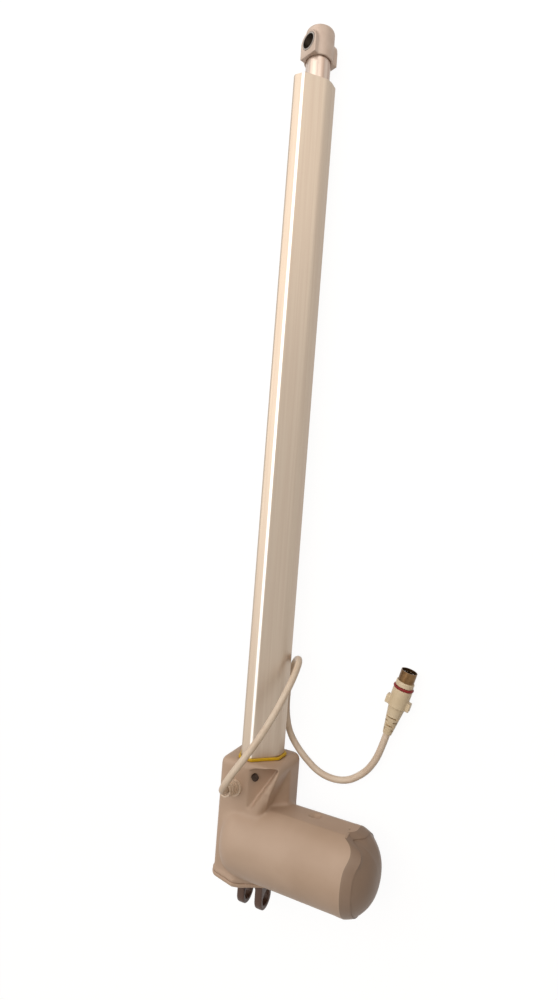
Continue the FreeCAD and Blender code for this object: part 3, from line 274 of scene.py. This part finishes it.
def finish(name, light, dark, cloud_mm, grain_mm, bump_mm, rough, stretch=(1, 1, 1), **shader):
    """A finish with slow changes of tone, a fine grain in its bump and its gloss, on Object coordinates.

    light and dark are the two tones, cloud_mm and grain_mm the sizes of the tone's clouds and the surface's
    grain, bump_mm the grain's height, rough the lowest and highest roughness, stretch the pattern's shrink
    along each axis, and shader the shader's own values.
    """
    material = bpy.data.materials.new(name)
    material.use_nodes = True
    tree = material.node_tree
    tree.nodes.clear()
    place = add(tree, "TexCoord")
    turned = add(tree, "Mapping", {"Scale": stretch}, {"Vector": place.outputs["Object"]})
    clouds = add(tree, "TexNoise", {"Scale": 1 / (cloud_mm * MM), "Detail": CLOUD_DETAIL}, {
        "Vector": turned.outputs[0]})
    grain = add(tree, "TexNoise", {"Scale": 1 / (grain_mm * MM), "Detail": GRAIN_DETAIL}, {
        "Vector": turned.outputs[0]})
    tone = add(tree, "ValToRGB", None, {"Fac": clouds.outputs["Fac"]})
    tone.color_ramp.elements[0].position = TONE_DARK
    tone.color_ramp.elements[0].color = linear(dark)
    tone.color_ramp.elements[1].position = TONE_LIGHT
    tone.color_ramp.elements[1].color = linear(light)
    gloss = add(tree, "MapRange", {"To Min": rough[0], "To Max": rough[1]}, {"Value": grain.outputs["Fac"]})
    bump = add(tree, "Bump", {"Strength": 1.0, "Distance": bump_mm * MM}, {"Height": grain.outputs["Fac"]})
    body = add(tree, "BsdfPrincipled", shader, {
        "Base Color": tone.outputs["Color"],
        "Roughness": gloss.outputs["Result"],
        "Normal": bump.outputs["Normal"],
    })
    add(tree, "OutputMaterial", None, {"Surface": body.outputs["BSDF"]})
    return material


def painted_ridge_highlight(material):
    """Lightens a finish near the tube's upper ridge into a painted highlight, by the distance from the
    ridge's line.
    """
    tree = material.node_tree
    place = add(tree, "TexCoord")
    apart = add(tree, "SeparateXYZ", None, {"Vector": place.outputs["Object"]})
    above = add(tree, "VectorMath", {1: (0, math.sin(LEAN), math.cos(LEAN))}, {
        0: place.outputs["Object"]}, operation="DOT_PRODUCT")
    section = add(tree, "CombineXYZ", None, {"X": apart.outputs["X"], "Y": above.outputs["Value"]})
    away = add(tree, "VectorMath", {1: (TUBE_RIDGE[0] * MM, TUBE_RIDGE[1] * MM, 0)}, {
        0: section.outputs["Vector"]}, operation="DISTANCE")
    share = add(tree, "MapRange", {
        "From Min": RIDGE_BRIGHT * MM,
        "From Max": RIDGE_FADE * MM,
        "To Min": 1.0,
        "To Max": 0.0,
    }, {"Value": away.outputs["Value"]})
    body = tree.nodes["Principled BSDF"]
    tone = body.inputs["Base Color"].links[0].from_socket
    # The painted highlight: the finish's tone mixed towards a near-white tone near the ridge
    bright = add(tree, "Mix", {"B": linear(RIDGE_HIGHLIGHT_TONE)}, {
        "Factor": share.outputs["Result"], "A": tone}, data_type="RGBA")
    tree.links.new(bright.outputs["Result"], body.inputs["Base Color"])


def dress_nodes():
    """Every CAD node gets the finish of its own material."""
    for material, names in NODE_FINISHES:
        for name in names:
            mesh = nodes[name].data
            mesh.materials.clear()
            mesh.materials.append(material)


def to_row(across, along, high):
    """Points beside, along and above the spindle, in millimetres, in the row's frame, in metres."""
    return MM * np.stack([
        across,
        along * math.cos(LEAN) + high * math.sin(LEAN),
        high * math.cos(LEAN) - along * math.sin(LEAN),
    ], axis=-1)


def from_row(spots):
    """Points of the row's frame, in metres, beside, along and above the spindle, in millimetres."""
    across, away, up = spots.T / MM
    return (across, away * math.cos(LEAN) - up * math.sin(LEAN), away * math.sin(LEAN) + up * math.cos(LEAN))


def smooth_step(value, low, high):
    """Nothing below low, one above high, and an even S between them."""
    share = np.clip((value - low) / (high - low), 0, 1)
    return share * share * (3 - 2 * share)


def bell(value, reach, middle, width):
    """A smooth hump of a given reach and width round its middle."""
    return reach * np.exp(-((value - middle) / width) ** 2)


def add_piece(name, shape, node, body="housing"):
    """A new piece in place of a CAD node, on the node's body."""
    piece = bpy.data.objects.new(name, shape)
    bpy.context.scene.collection.objects.link(piece)
    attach(piece, body)
    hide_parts(node)
    return piece


def refined_copy(node, cell_mm):
    """A closed copy of a CAD node in even small faces of a given size, as a mesh."""
    joined = bmesh.new()
    joined.from_mesh(nodes[node].data)
    bmesh.ops.remove_doubles(joined, verts=joined.verts, dist=MERGE * MM)
    mesh = bpy.data.meshes.new(node + "_blank")
    joined.to_mesh(mesh)
    joined.free()
    blank = bpy.data.objects.new(node + "_blank", mesh)
    bpy.context.scene.collection.objects.link(blank)
    even = blank.modifiers.new("even_faces", "REMESH")
    even.mode = "VOXEL"
    even.voxel_size = cell_mm * MM
    fine = bpy.data.meshes.new_from_object(blank.evaluated_get(bpy.context.evaluated_depsgraph_get()))
    bpy.data.objects.remove(blank)
    return fine


def points_of(mesh):
    """A mesh's points, in metres, one in a row."""
    spots = np.empty(3 * len(mesh.vertices), dtype=np.float32)
    mesh.vertices.foreach_get("co", spots)
    return spots.reshape(-1, 3).astype(float)


def put_points(mesh, spots):
    """Moves a mesh's points to their new places."""
    mesh.vertices.foreach_set("co", spots.astype(np.float32).ravel())


def shade_smooth(mesh):
    """Shades every face of a mesh smooth."""
    mesh.polygons.foreach_set("use_smooth", np.ones(len(mesh.polygons), dtype=bool))


def put_skin(mesh, spots, material):
    """Gives a mesh new places for its points, smooth shading and one finish."""
    put_points(mesh, spots)
    shade_smooth(mesh)
    mesh.materials.clear()
    mesh.materials.append(material)


def relaxed(mesh, spots, share, rounds):
    """Points after rounds in which each goes a share of the way to the middle of its neighbours."""
    ends = np.empty(2 * len(mesh.edges), dtype=np.int32)
    mesh.edges.foreach_get("vertices", ends)
    first, second = ends.reshape(-1, 2).T
    here = np.concatenate([first, second])
    there = np.concatenate([second, first])
    count = np.bincount(here, minlength=len(spots))[:, None]
    for _ in range(rounds):
        total = np.stack([np.bincount(here, spots[there, axis], len(spots)) for axis in range(3)], axis=-1)
        spots = spots + share[:, None] * (total / count - spots)
    return spots


def foot_lift(across):
    """How far the foot's underside rises away from the motor, in even measure over the rise's width."""
    return FOOT_LIFT * np.clip((-across - LIFT_START) / LIFT_WIDTH, 0, 1)


def lowered_rib(across, along, high):
    """Heights after the rib's foot comes down to its right edge.

    It falls by a square law of the distance from that edge, less and less up the rib, and no lower than the
    barrel's circle.
    """
    climb = (along - RIB_LOW) / (RIB_HIGH - RIB_LOW)
    right = RIB_RIGHT_LOW + climb * (RIB_RIGHT_HIGH - RIB_RIGHT_LOW)
    inside = np.clip((right - across) / RIB_EASE, 0, 1)
    fall = RIB_FALL * (1 - smooth_step(along, RIB_EASE_LOW, RIB_EASE_HIGH))
    barrel = BARREL_RISE + np.sqrt(np.clip(BARREL_RADIUS ** 2 - (along - BARREL_ALONG) ** 2, 0, None))
    ceiling = np.maximum(BLOCK_FRONT - fall * (1 - inside) ** 2, barrel)
    near = (across < right + RIB_MARGIN) & (across > RIB_LEFT) & (along > RIB_LOW) & (along < RIB_EASE_HIGH)
    return np.where(near, np.minimum(high, ceiling), high)


def deepened_pocket(across, along, high):
    """Heights with the pocket's floor as a plane that falls one in one across, left of the rib's slant."""
    pocket = (across < POCKET_RIGHT + POCKET_SLANT * (along - POCKET_LOW)) & (across > POCKET_LEFT)
    pocket = pocket & (along > POCKET_LOW) & (along < RIB_HIGH + POCKET_RISE * across)
    return np.where(pocket, np.minimum(high, POCKET_PLANE - across), high)


def deepened_notch(across, along, high):
    """Places along the spindle with the latch notch driven straight into the barrel's flat."""
    notch = np.abs(across - NOTCH_ACROSS) < NOTCH_HALF_WIDTH
    notch = notch & (np.abs(high - NOTCH_HIGH) < NOTCH_HALF_HEIGHT)
    notch = notch & (along > BARREL_ALONG + BARREL_FLAT - NOTCH_SKIN)
    return np.where(notch, along - NOTCH_DEPTH, along)


def housing_share(across, along, high):
    """Each point's share in the housing's softening: half way, less by even S steps where it stays sharp."""
    foot = smooth_step(along, COVER_PLANE + FOOT_SHARP[0], COVER_PLANE + FOOT_SHARP[1])
    end = smooth_step(across, BARREL_END - END_SHARP[0], BARREL_END - END_SHARP[1])
    flat = FLAT_KEPT * smooth_step(across, *FLAT_ACROSS) * smooth_step(along, *FLAT_ALONG)
    corner = (across > CORNER_ACROSS[0]) & (across < CORNER_ACROSS[1])
    corner = corner & (along > CORNER_ALONG) & (high > CORNER_HIGH)
    return HALF_WAY * foot * (1 - end) * (1 - flat) * (1 - POCKET_KEPT * corner)


def make_housing(plastic):
    """The housing with the soft corners of a moulding.

    Rib, pocket and notch take their forms, the foot's underside rises by a lift that fades up the block, and
    every outer edge and inner corner is relaxed into a round.
    """
    mesh = refined_copy("gear_housing", HOUSING_CELL)
    across, along, high = from_row(points_of(mesh))
    high = lowered_rib(across, along, high)
    high = deepened_pocket(across, along, high)
    along = deepened_notch(across, along, high)
    share = housing_share(across, along, high)
    still = smooth_step(along, COVER_PLANE + LIFT_FADE[0], COVER_PLANE + LIFT_FADE[1])
    along = along + foot_lift(across) * (1 - still)
    put_skin(mesh, relaxed(mesh, to_row(across, along, high), share, HOUSING_ROUNDS), plastic)
    add_piece("moulded_housing", mesh, "gear_housing")


def make_cover(plastic):
    """The cover under the block, sheared along the foot's rising underside."""
    mesh = refined_copy("bottom_cover", COVER_CELL)
    across, along, high = from_row(points_of(mesh))
    spots = to_row(across, along + foot_lift(across), high)
    put_skin(mesh, relaxed(mesh, spots, np.full(len(spots), HALF_WAY), COVER_ROUNDS), plastic)
    add_piece("foot_cover", mesh, "bottom_cover")


def make_screws():
    """The cover's screws, carried along with the foot's rising underside so that they stay seated."""
    mesh = nodes["cover_screws"].data.copy()
    across, along, high = from_row(points_of(mesh))
    put_points(mesh, to_row(across, along + foot_lift(across), high))
    add_piece("seated_screws", mesh, "cover_screws")


def make_clevis(plastic):
    """The clevis with soft ears, its bridge reaching up to the foot's rising underside by an even S."""
    mesh = refined_copy("rear_clevis", CLEVIS_CELL)
    across, along, high = from_row(points_of(mesh))
    joined = smooth_step(along, BRIDGE_LOW, BRIDGE_TOP)
    spots = to_row(across, along + foot_lift(across) * joined, high)
    put_skin(mesh, relaxed(mesh, spots, HALF_WAY * (1 - joined), CLEVIS_ROUNDS), plastic)
    add_piece("moulded_clevis", mesh, "rear_clevis")


def make_soft_copy(name, node, body, cell_mm, rounds, material):
    """A CAD node with its edges relaxed into small rounds, as tumbling or a mould leaves them."""
    mesh = refined_copy(node, cell_mm)
    spots = points_of(mesh)
    put_skin(mesh, relaxed(mesh, spots, np.full(len(spots), HALF_WAY), rounds), material)
    return add_piece(name, mesh, node, body)


def ring_faces(rings, points, open_after=-1):
    """Quads between each ring of points and the next, the last ring meeting the first, bar one open step."""
    kept = np.arange(rings)
    kept = kept[kept != open_after]
    ring = kept[:, None] * points
    following = ((kept + 1) % rings)[:, None] * points
    step = np.arange(points)
    turn = (step + 1) % points
    return np.stack([ring + step, ring + turn, following + turn, following + step], axis=-1).reshape(-1, 4)


def close_up(mesh, crease):
    """Merges a grid's poles and seams, turns its faces outwards and shades it smooth but for its creases."""
    whole = bmesh.new()
    whole.from_mesh(mesh)
    bmesh.ops.remove_doubles(whole, verts=whole.verts, dist=MERGE * MM)
    bmesh.ops.recalc_face_normals(whole, faces=whole.faces)
    whole.to_mesh(mesh)
    whole.free()
    shade_smooth(mesh)
    mesh.set_sharp_from_angle(angle=crease)


def tube_outline():
    """The tube's outline and its outward normals.

    Each corner is a square curve between two points on its sides, as far from the corner as its radius asks.
    """
    corners = np.array(TUBE_CORNERS)
    radii = np.array(TUBE_RADII)[:, None]
    before = np.roll(corners, 1, axis=0) - corners
    after = np.roll(corners, -1, axis=0) - corners
    before_length = np.linalg.norm(before, axis=1, keepdims=True)
    after_length = np.linalg.norm(after, axis=1, keepdims=True)
    before = before / before_length
    after = after / after_length
    turn = math.pi - np.arccos(np.sum(before * after, axis=1, keepdims=True))
    reach = np.minimum(radii * np.tan(turn / 2), TUBE_REACH * np.minimum(before_length, after_length))
    start = (corners + reach * before)[:, None]
    end = (corners + reach * after)[:, None]
    step = np.linspace(0, 1, TUBE_STEPS)[None, :, None]
    outline = (1 - step) ** 2 * start + 2 * step * (1 - step) * corners[:, None] + step ** 2 * end
    outline = outline.reshape(-1, 2)
    edge = np.roll(outline, -1, axis=0) - np.roll(outline, 1, axis=0)
    normal = np.stack([edge[:, 1], -edge[:, 0]], axis=1)
    return outline, normal / np.linalg.norm(normal, axis=1, keepdims=True)


def make_tube(aluminium):
    """The extruded tube: its section carried along the spindle's line, with an eased edge at its open end.

    The inside is the outside moved in by the wall along its normals.
    """
    outside, normal = tube_outline()
    inside = outside - TUBE_WALL * normal
    eased = outside - TUBE_EASE * normal
    reach = from_row(points_of(nodes["outer_tube"].data))[1]
    low = reach.min()
    high = reach.max()
    rings = [(outside, low), (outside, high - TUBE_EASE), (eased, high), (inside, high), (inside, low)]
    section = np.stack([ring for ring, _ in rings])
    along = np.stack([np.full(len(outside), place) for _, place in rings])
    turned = math.sqrt(0.5)
    across = turned * (section[..., 0] + section[..., 1])
    up = turned * (section[..., 0] - section[..., 1])
    mesh = bpy.data.meshes.new("extruded_tube")
    mesh.from_pydata(to_row(across, along, up).reshape(-1, 3), [], ring_faces(len(rings), len(outside)))
    close_up(mesh, TUBE_CREASE)
    mesh.materials.append(aluminium)
    add_piece("extruded_tube", mesh, "outer_tube")


def make_end_cap(shell, plastic):
    """The barrel's end cap: rings round the barrel's axis, joined into one closed wall.

    A ring's radius is the barrel's, cut by its flat. The rim rolls inwards by a power of its length, bulges
    in a bell before the flat and draws back in another where the flat begins. Inside a narrow groove the
    crown rises by a power of the radius, and the rim's waves fade by a high power of it. The inner side
    follows one wall's thickness behind. The skirt before the rim is in the shell's tone.
    """
    angle = np.linspace(0, 2 * math.pi, CAP_POINTS, endpoint=False)
    sine = np.sin(angle)
    edge = np.minimum(BARREL_RADIUS, BARREL_FLAT / np.maximum(sine, LEAST_SINE)) + CAP_PROUD
    rim = RIM_END + bell(angle, *RIM_BULGE) - bell(angle, *RIM_DIP)
    foot = edge - RIM_DROP - 2 * GROOVE
    skirt = [np.full_like(angle, CAP_START)], [edge]
    roll = np.linspace(0, 1, RIM_RINGS)[:, None]
    band = rim - RIM_LENGTH * (1 - roll), edge - RIM_DROP * roll ** RIM_POWER
    groove_edges = [edge - RIM_DROP - GROOVE_OUTER * GROOVE, foot + GROOVE_INNER * GROOVE]
    groove = [rim - GROOVE, rim - GROOVE], groove_edges
    rest = np.linspace(1, 0, CROWN_RINGS)[:, None]
    rise = CROWN_END - (CROWN_END - RIM_END) * rest ** CROWN_POWER
    crown = rise + (rim - RIM_END) * rest ** RIM_FADE, foot * rest
    hollow = crown[0][::-1] - CAP_WALL, (foot - CAP_WALL) * rest[::-1]
    mouth = [np.full_like(angle, CAP_START)], [foot - CAP_WALL]
    outer = [skirt, band, groove, crown]
    lines = outer + [hollow, mouth]
    across = np.concatenate([line[0] for line in lines])
    radius = np.concatenate([line[1] for line in lines])
    spots = to_row(across, BARREL_ALONG + radius * sine, BARREL_RISE + radius * np.cos(angle))
    crown_last = sum(len(line[0]) for line in outer) - 1
    mesh = bpy.data.meshes.new("crowned_end_cap")
    mesh.from_pydata(spots.reshape(-1, 3), [], ring_faces(len(across), CAP_POINTS, crown_last))
    mesh.materials.append(shell)
    # The rim and crown take the cap's finish, darkened with painted shade
    mesh.materials.append(plastic)
    past_skirt = np.arange(len(mesh.polygons)) >= CAP_POINTS
    mesh.polygons.foreach_set("material_index", past_skirt.astype(np.int32))
    close_up(mesh, CAP_CREASE)
    add_piece("crowned_end_cap", mesh, "motor_end_cap")


def make_cable(sheath):
    """The cable as one round curve through the route's control points."""
    curve = bpy.data.curves.new("lead", "CURVE")
    curve.dimensions = "3D"
    curve.bevel_depth = CABLE_DIAMETER / 2
    curve.bevel_resolution = 6
    curve.resolution_u = 16
    curve.use_fill_caps = True
    spline = curve.splines.new("NURBS")
    spline.points.add(len(CABLE_ROUTE) - 1)
    for point, (x, y, height) in zip(spline.points, CABLE_ROUTE):
        point.co = (x, y, FLOOR + height, 1.0)
    spline.order_u = 3
    spline.use_endpoint_u = True
    curve.materials.append(sheath)
    lead = add_piece("lead", curve, "cable")
    x, y, height = CABLE_ROUTE[0]


def seen_directly(tree):
    """One for rays from the camera, in a reflection or through glass, and none for light that bounces."""
    path = add(tree, "LightPath")
    glossy = add(tree, "Math", None, {
        0: path.outputs["Is Camera Ray"], 1: path.outputs["Is Glossy Ray"]}, operation="MAXIMUM")
    every = add(tree, "Math", None, {
        0: glossy.outputs[0], 1: path.outputs["Is Transmission Ray"]}, operation="MAXIMUM")
    return every.outputs[0]


def make_floor():
    """A wide pale floor that shows white to the camera and keeps the object's shadow."""
    half = FLOOR_HALF
    corners = [(-half, -half, FLOOR), (half, -half, FLOOR), (half, half, FLOOR), (-half, half, FLOOR)]
    mesh = bpy.data.meshes.new("floor")
    mesh.from_pydata(corners, [], [(0, 1, 2, 3)])
    material = bpy.data.materials.new("pale_floor")
    material.use_nodes = True
    tree = material.node_tree
    tree.nodes.clear()
    paint = add(tree, "BsdfDiffuse", {"Color": linear(FLOOR_PAINT)})
    shade = add(tree, "BsdfDiffuse", {"Color": linear(FLOOR_SHADE)})
    white = add(tree, "Emission", {"Color": linear(BACKDROP), "Strength": FLOOR_GLOW})
    seen = add(tree, "AddShader", None, {0: white.outputs[0], 1: shade.outputs[0]})
    both = add(tree, "MixShader", None, {0: seen_directly(tree), 1: paint.outputs[0], 2: seen.outputs[0]})
    add(tree, "OutputMaterial", None, {"Surface": both.outputs[0]})
    mesh.materials.append(material)
    floor = bpy.data.objects.new("floor", mesh)
    bpy.context.scene.collection.objects.link(floor)


def make_world():
    """Soft light from all sides, with a white backdrop for the camera and for reflections."""
    world = bpy.data.worlds.new("studio")
    bpy.context.scene.world = world
    world.use_nodes = True
    tree = world.node_tree
    tree.nodes.clear()
    soft = add(tree, "Background", {"Color": linear(SKY_TINT), "Strength": SKY_STRENGTH})
    white = add(tree, "Background", {"Color": linear(BACKDROP), "Strength": 1.0})
    both = add(tree, "MixShader", None, {0: seen_directly(tree), 1: soft.outputs[0], 2: white.outputs[0]})
    add(tree, "OutputWorld", None, {"Surface": both.outputs[0]})


def make_lamp(name, place, aim, side, watts, tint):
    """A square soft lamp that points at a spot."""
    lamp = bpy.data.lights.new(name, "AREA")
    lamp.size = side
    lamp.energy = watts
    lamp.color = linear(tint)[:3]
    lit = bpy.data.objects.new(name, lamp)
    bpy.context.scene.collection.objects.link(lit)
    way = np.subtract(aim, place)
    lit.location = place
    level = math.hypot(way[0], way[1])
    lit.rotation_euler = (math.atan2(level, -way[2]), 0, math.atan2(way[1], way[0]) - math.pi / 2)


def make_camera():
    """The camera at the picture's viewing angle."""
    camera = bpy.data.cameras.new("camera")
    camera.sensor_fit = "VERTICAL"
    camera.sensor_height = SENSOR
    camera.lens = FOCAL_SHARE * SENSOR
    camera.clip_start = 0.01
    held = bpy.data.objects.new("camera", camera)
    bpy.context.scene.collection.objects.link(held)
    held.location = CAMERA_PLACE
    held.rotation_euler = [math.radians(angle) for angle in CAMERA_TURN]
    bpy.context.scene.camera = held


# Glass-filled nylon from a spark-eroded mould: matt warm grey, its grain coarser than real so that it shows
HOUSING_NYLON = finish("moulded_housing_nylon", "#c6ad99", "#bca28d", 40, 0.7, 0.05, (0.42, 0.58))
# The same nylon darkened with painted shade, with the sheen that a pin leaves on it
CLEVIS_NYLON_PAINTED_SHADE = finish("clevis_nylon_painted_shade", "#583c2c", "#4e3424", 14, 0.7, 0.05, (0.4, 0.55))
# The same nylon in the cap, a little darker with painted shade
CAP_NYLON_PAINTED_SHADE = finish("cap_nylon_painted_shade", "#9a8372", "#907967", 40, 0.7, 0.05, (0.42, 0.58))
# Extruded and anodised aluminium: satin, with lines along the tube, coarser than real so that they show
TUBE_ALUMINIUM = finish(
    "anodised_tube_aluminium", "#c6b6a4", "#c1af9d", 1.6, 0.35, 0.003, (0.4, 0.5), TUBE_STREAKS,
    Metallic=0.75)
# A painted highlight along the tube's upper ridge
painted_ridge_highlight(TUBE_ALUMINIUM)
# Moulded rubber: even, slightly waxy yellow
GASKET_RUBBER = finish("gasket_rubber", "#dcb408", "#cfa406", 8, 0.4, 0.03, (0.4, 0.55))
# Drawn steel: bright, with streaks along the rod
ROD_STEEL = finish(
    "drawn_rod_steel", "#dacbbe", "#b0998a", 6, 0.3, 0.003, (0.3, 0.4), ROD_STREAKS, Metallic=0.8)
# Tumbled zinc casting: soft satin skin
EYE_CASTING = finish("eye_casting", "#d4c1b3", "#cab5a6", 12, 0.6, 0.01, (0.4, 0.52), Metallic=0.25)
# Steel painted nearly black as the shade of its deep pocket, with small bright spots
SCREW_STEEL_PAINTED_SHADE = finish("screw_steel_painted_shade", "#4a3c32", "#3a2e26", 3, 0.3, 0.01, (0.22, 0.34), Metallic=0.9)
# Turned steel: grey and fairly bright
TURNED_STEEL = finish("turned_steel", "#b0a8a0", "#a1988f", 4, 0.3, 0.004, (0.22, 0.34), Metallic=1.0)
# Ground bearing and shaft steel: clear highlights on a fine surface
GROUND_STEEL = finish("ground_steel", "#b4b2ae", "#a5a29d", 5, 0.3, 0.003, (0.2, 0.3), Metallic=1.0)
# Sintered bronze: grainy and warm
SINTERED_BRONZE = finish("sintered_bronze", "#b08a52", "#9c7742", 3, 0.25, 0.01, (0.3, 0.42), Metallic=1.0)
# Sintered ferrite: dull dark grey
SINTERED_FERRITE = finish("sintered_ferrite", "#3a3a3c", "#303032", 4, 0.3, 0.01, (0.45, 0.6))
# Enamelled copper: red-brown, with the uneven shine of wound wire
ENAMELLED_COPPER = finish("enamelled_copper", "#b0663a", "#9a5228", 2, 0.6, 0.08, (0.25, 0.4), Metallic=0.9)
# Unfilled nylon: off-white with a soft sheen
GUIDE_NYLON = finish("guide_nylon", "#e0dccf", "#d6d1c2", 10, 0.6, 0.02, (0.4, 0.5))
# Black rubber: deep and dull
BLACK_RUBBER = finish("black_rubber", "#2a2927", "#201f1e", 6, 0.4, 0.03, (0.55, 0.7))
# Lacquered circuit board: green with a smooth shine
BOARD_LAMINATE = finish("board_laminate", "#2f6238", "#27552f", 6, 0.5, 0.01, (0.3, 0.4))
# Drawn glass: pale green and very smooth
REED_GLASS = finish("reed_glass", "#d6e2da", "#cddad2", 8, 0.8, 0.002, (0.05, 0.1))
# Pressed carbon: black and dry
PRESSED_CARBON = finish("pressed_carbon", "#1d1b1a", "#151413", 3, 0.3, 0.01, (0.5, 0.65))
# Flexible vinyl: cream, a little waxy
SHEATH = finish("cable_vinyl", "#e8d8c6", "#decab6", 12, 0.5, 0.005, (0.36, 0.48))
# Polyester resin moulding: cream with a smooth satin skin
PLUG_RESIN = finish("plug_resin", "#e4d3b6", "#d9c6a6", 14, 0.6, 0.005, (0.36, 0.46))
# Dark red rubber: deep, with a dull shine
RING_RUBBER = finish("ring_rubber", "#900808", "#7c0505", 5, 0.4, 0.004, (0.45, 0.6))
# Worn plated shell: brownish metal
PLATED_SHELL = finish("plated_shell", "#7d6040", "#684d30", 3, 0.4, 0.01, (0.25, 0.4), Metallic=0.9)

NODE_FINISHES = [
    (HOUSING_NYLON, ["gear_housing", "bottom_cover", "motor_end_cap"]),
    (CLEVIS_NYLON_PAINTED_SHADE, ["rear_clevis"]),
    (TUBE_ALUMINIUM, ["outer_tube"]),
    (GASKET_RUBBER, ["tube_gasket"]),
    (ROD_STEEL, ["rod_tube"]),
    (EYE_CASTING, ["rod_eye"]),
    (SCREW_STEEL_PAINTED_SHADE, ["tube_screw"]),
    (TURNED_STEEL, ["eye_bush", "eye_cross_pin", "cover_screws", "plug_pins"]),
    (GROUND_STEEL, ["spindle", "spindle_lock_nut", "motor_shaft", "worm", "armature_core"]),
    (GROUND_STEEL, ["bearing_inner_ring", "bearing_outer_ring", "bearing_balls"]),
    (GROUND_STEEL, ["motor_can", "motor_front_bell", "motor_rear_bell"]),
    (SINTERED_BRONZE, ["worm_wheel", "spindle_nut", "spindle_lower_bush"]),
    (SINTERED_BRONZE, ["motor_front_bush", "motor_rear_bush", "worm_end_bush"]),
    (SINTERED_FERRITE, ["field_magnets", "position_magnet"]),
    (ENAMELLED_COPPER, ["armature_windings", "commutator"]),
    (GUIDE_NYLON, ["rod_guide"]),
    (BLACK_RUBBER, ["motor_cradle", "wiper_seal"]),
    (BOARD_LAMINATE, ["sensor_strip", "brush_card"]),
    (REED_GLASS, ["reed_switches"]),
    (PRESSED_CARBON, ["motor_brushes", "plug_insert"]),
    (SHEATH, ["cable", "cable_gland"]),
    (PLUG_RESIN, ["plug_boot", "plug_collar"]),
    (RING_RUBBER, ["plug_o_ring"]),
    (PLATED_SHELL, ["plug_shell"]),
]

make_camera()
plug_collar = make_soft_copy(
    "moulded_collar", "plug_collar", "housing", COLLAR_CELL, COLLAR_ROUNDS, PLUG_RESIN)
make_cable(SHEATH)
dress_nodes()
make_housing(HOUSING_NYLON)
make_cover(HOUSING_NYLON)
make_screws()
make_clevis(CLEVIS_NYLON_PAINTED_SHADE)
make_end_cap(HOUSING_NYLON, CAP_NYLON_PAINTED_SHADE)
make_tube(TUBE_ALUMINIUM)
make_soft_copy(
    "moulded_gasket", "tube_gasket", "housing", GASKET_CELL, GASKET_ROUNDS, GASKET_RUBBER)
make_soft_copy("tumbled_eye", "rod_eye", "rod", EYE_CELL, EYE_ROUNDS, EYE_CASTING)
make_floor()
make_world()
for lamp_name, lamp_values in LAMPS.items():
    make_lamp(lamp_name, *lamp_values)
bpy.context.scene.view_settings.view_transform = "Standard"
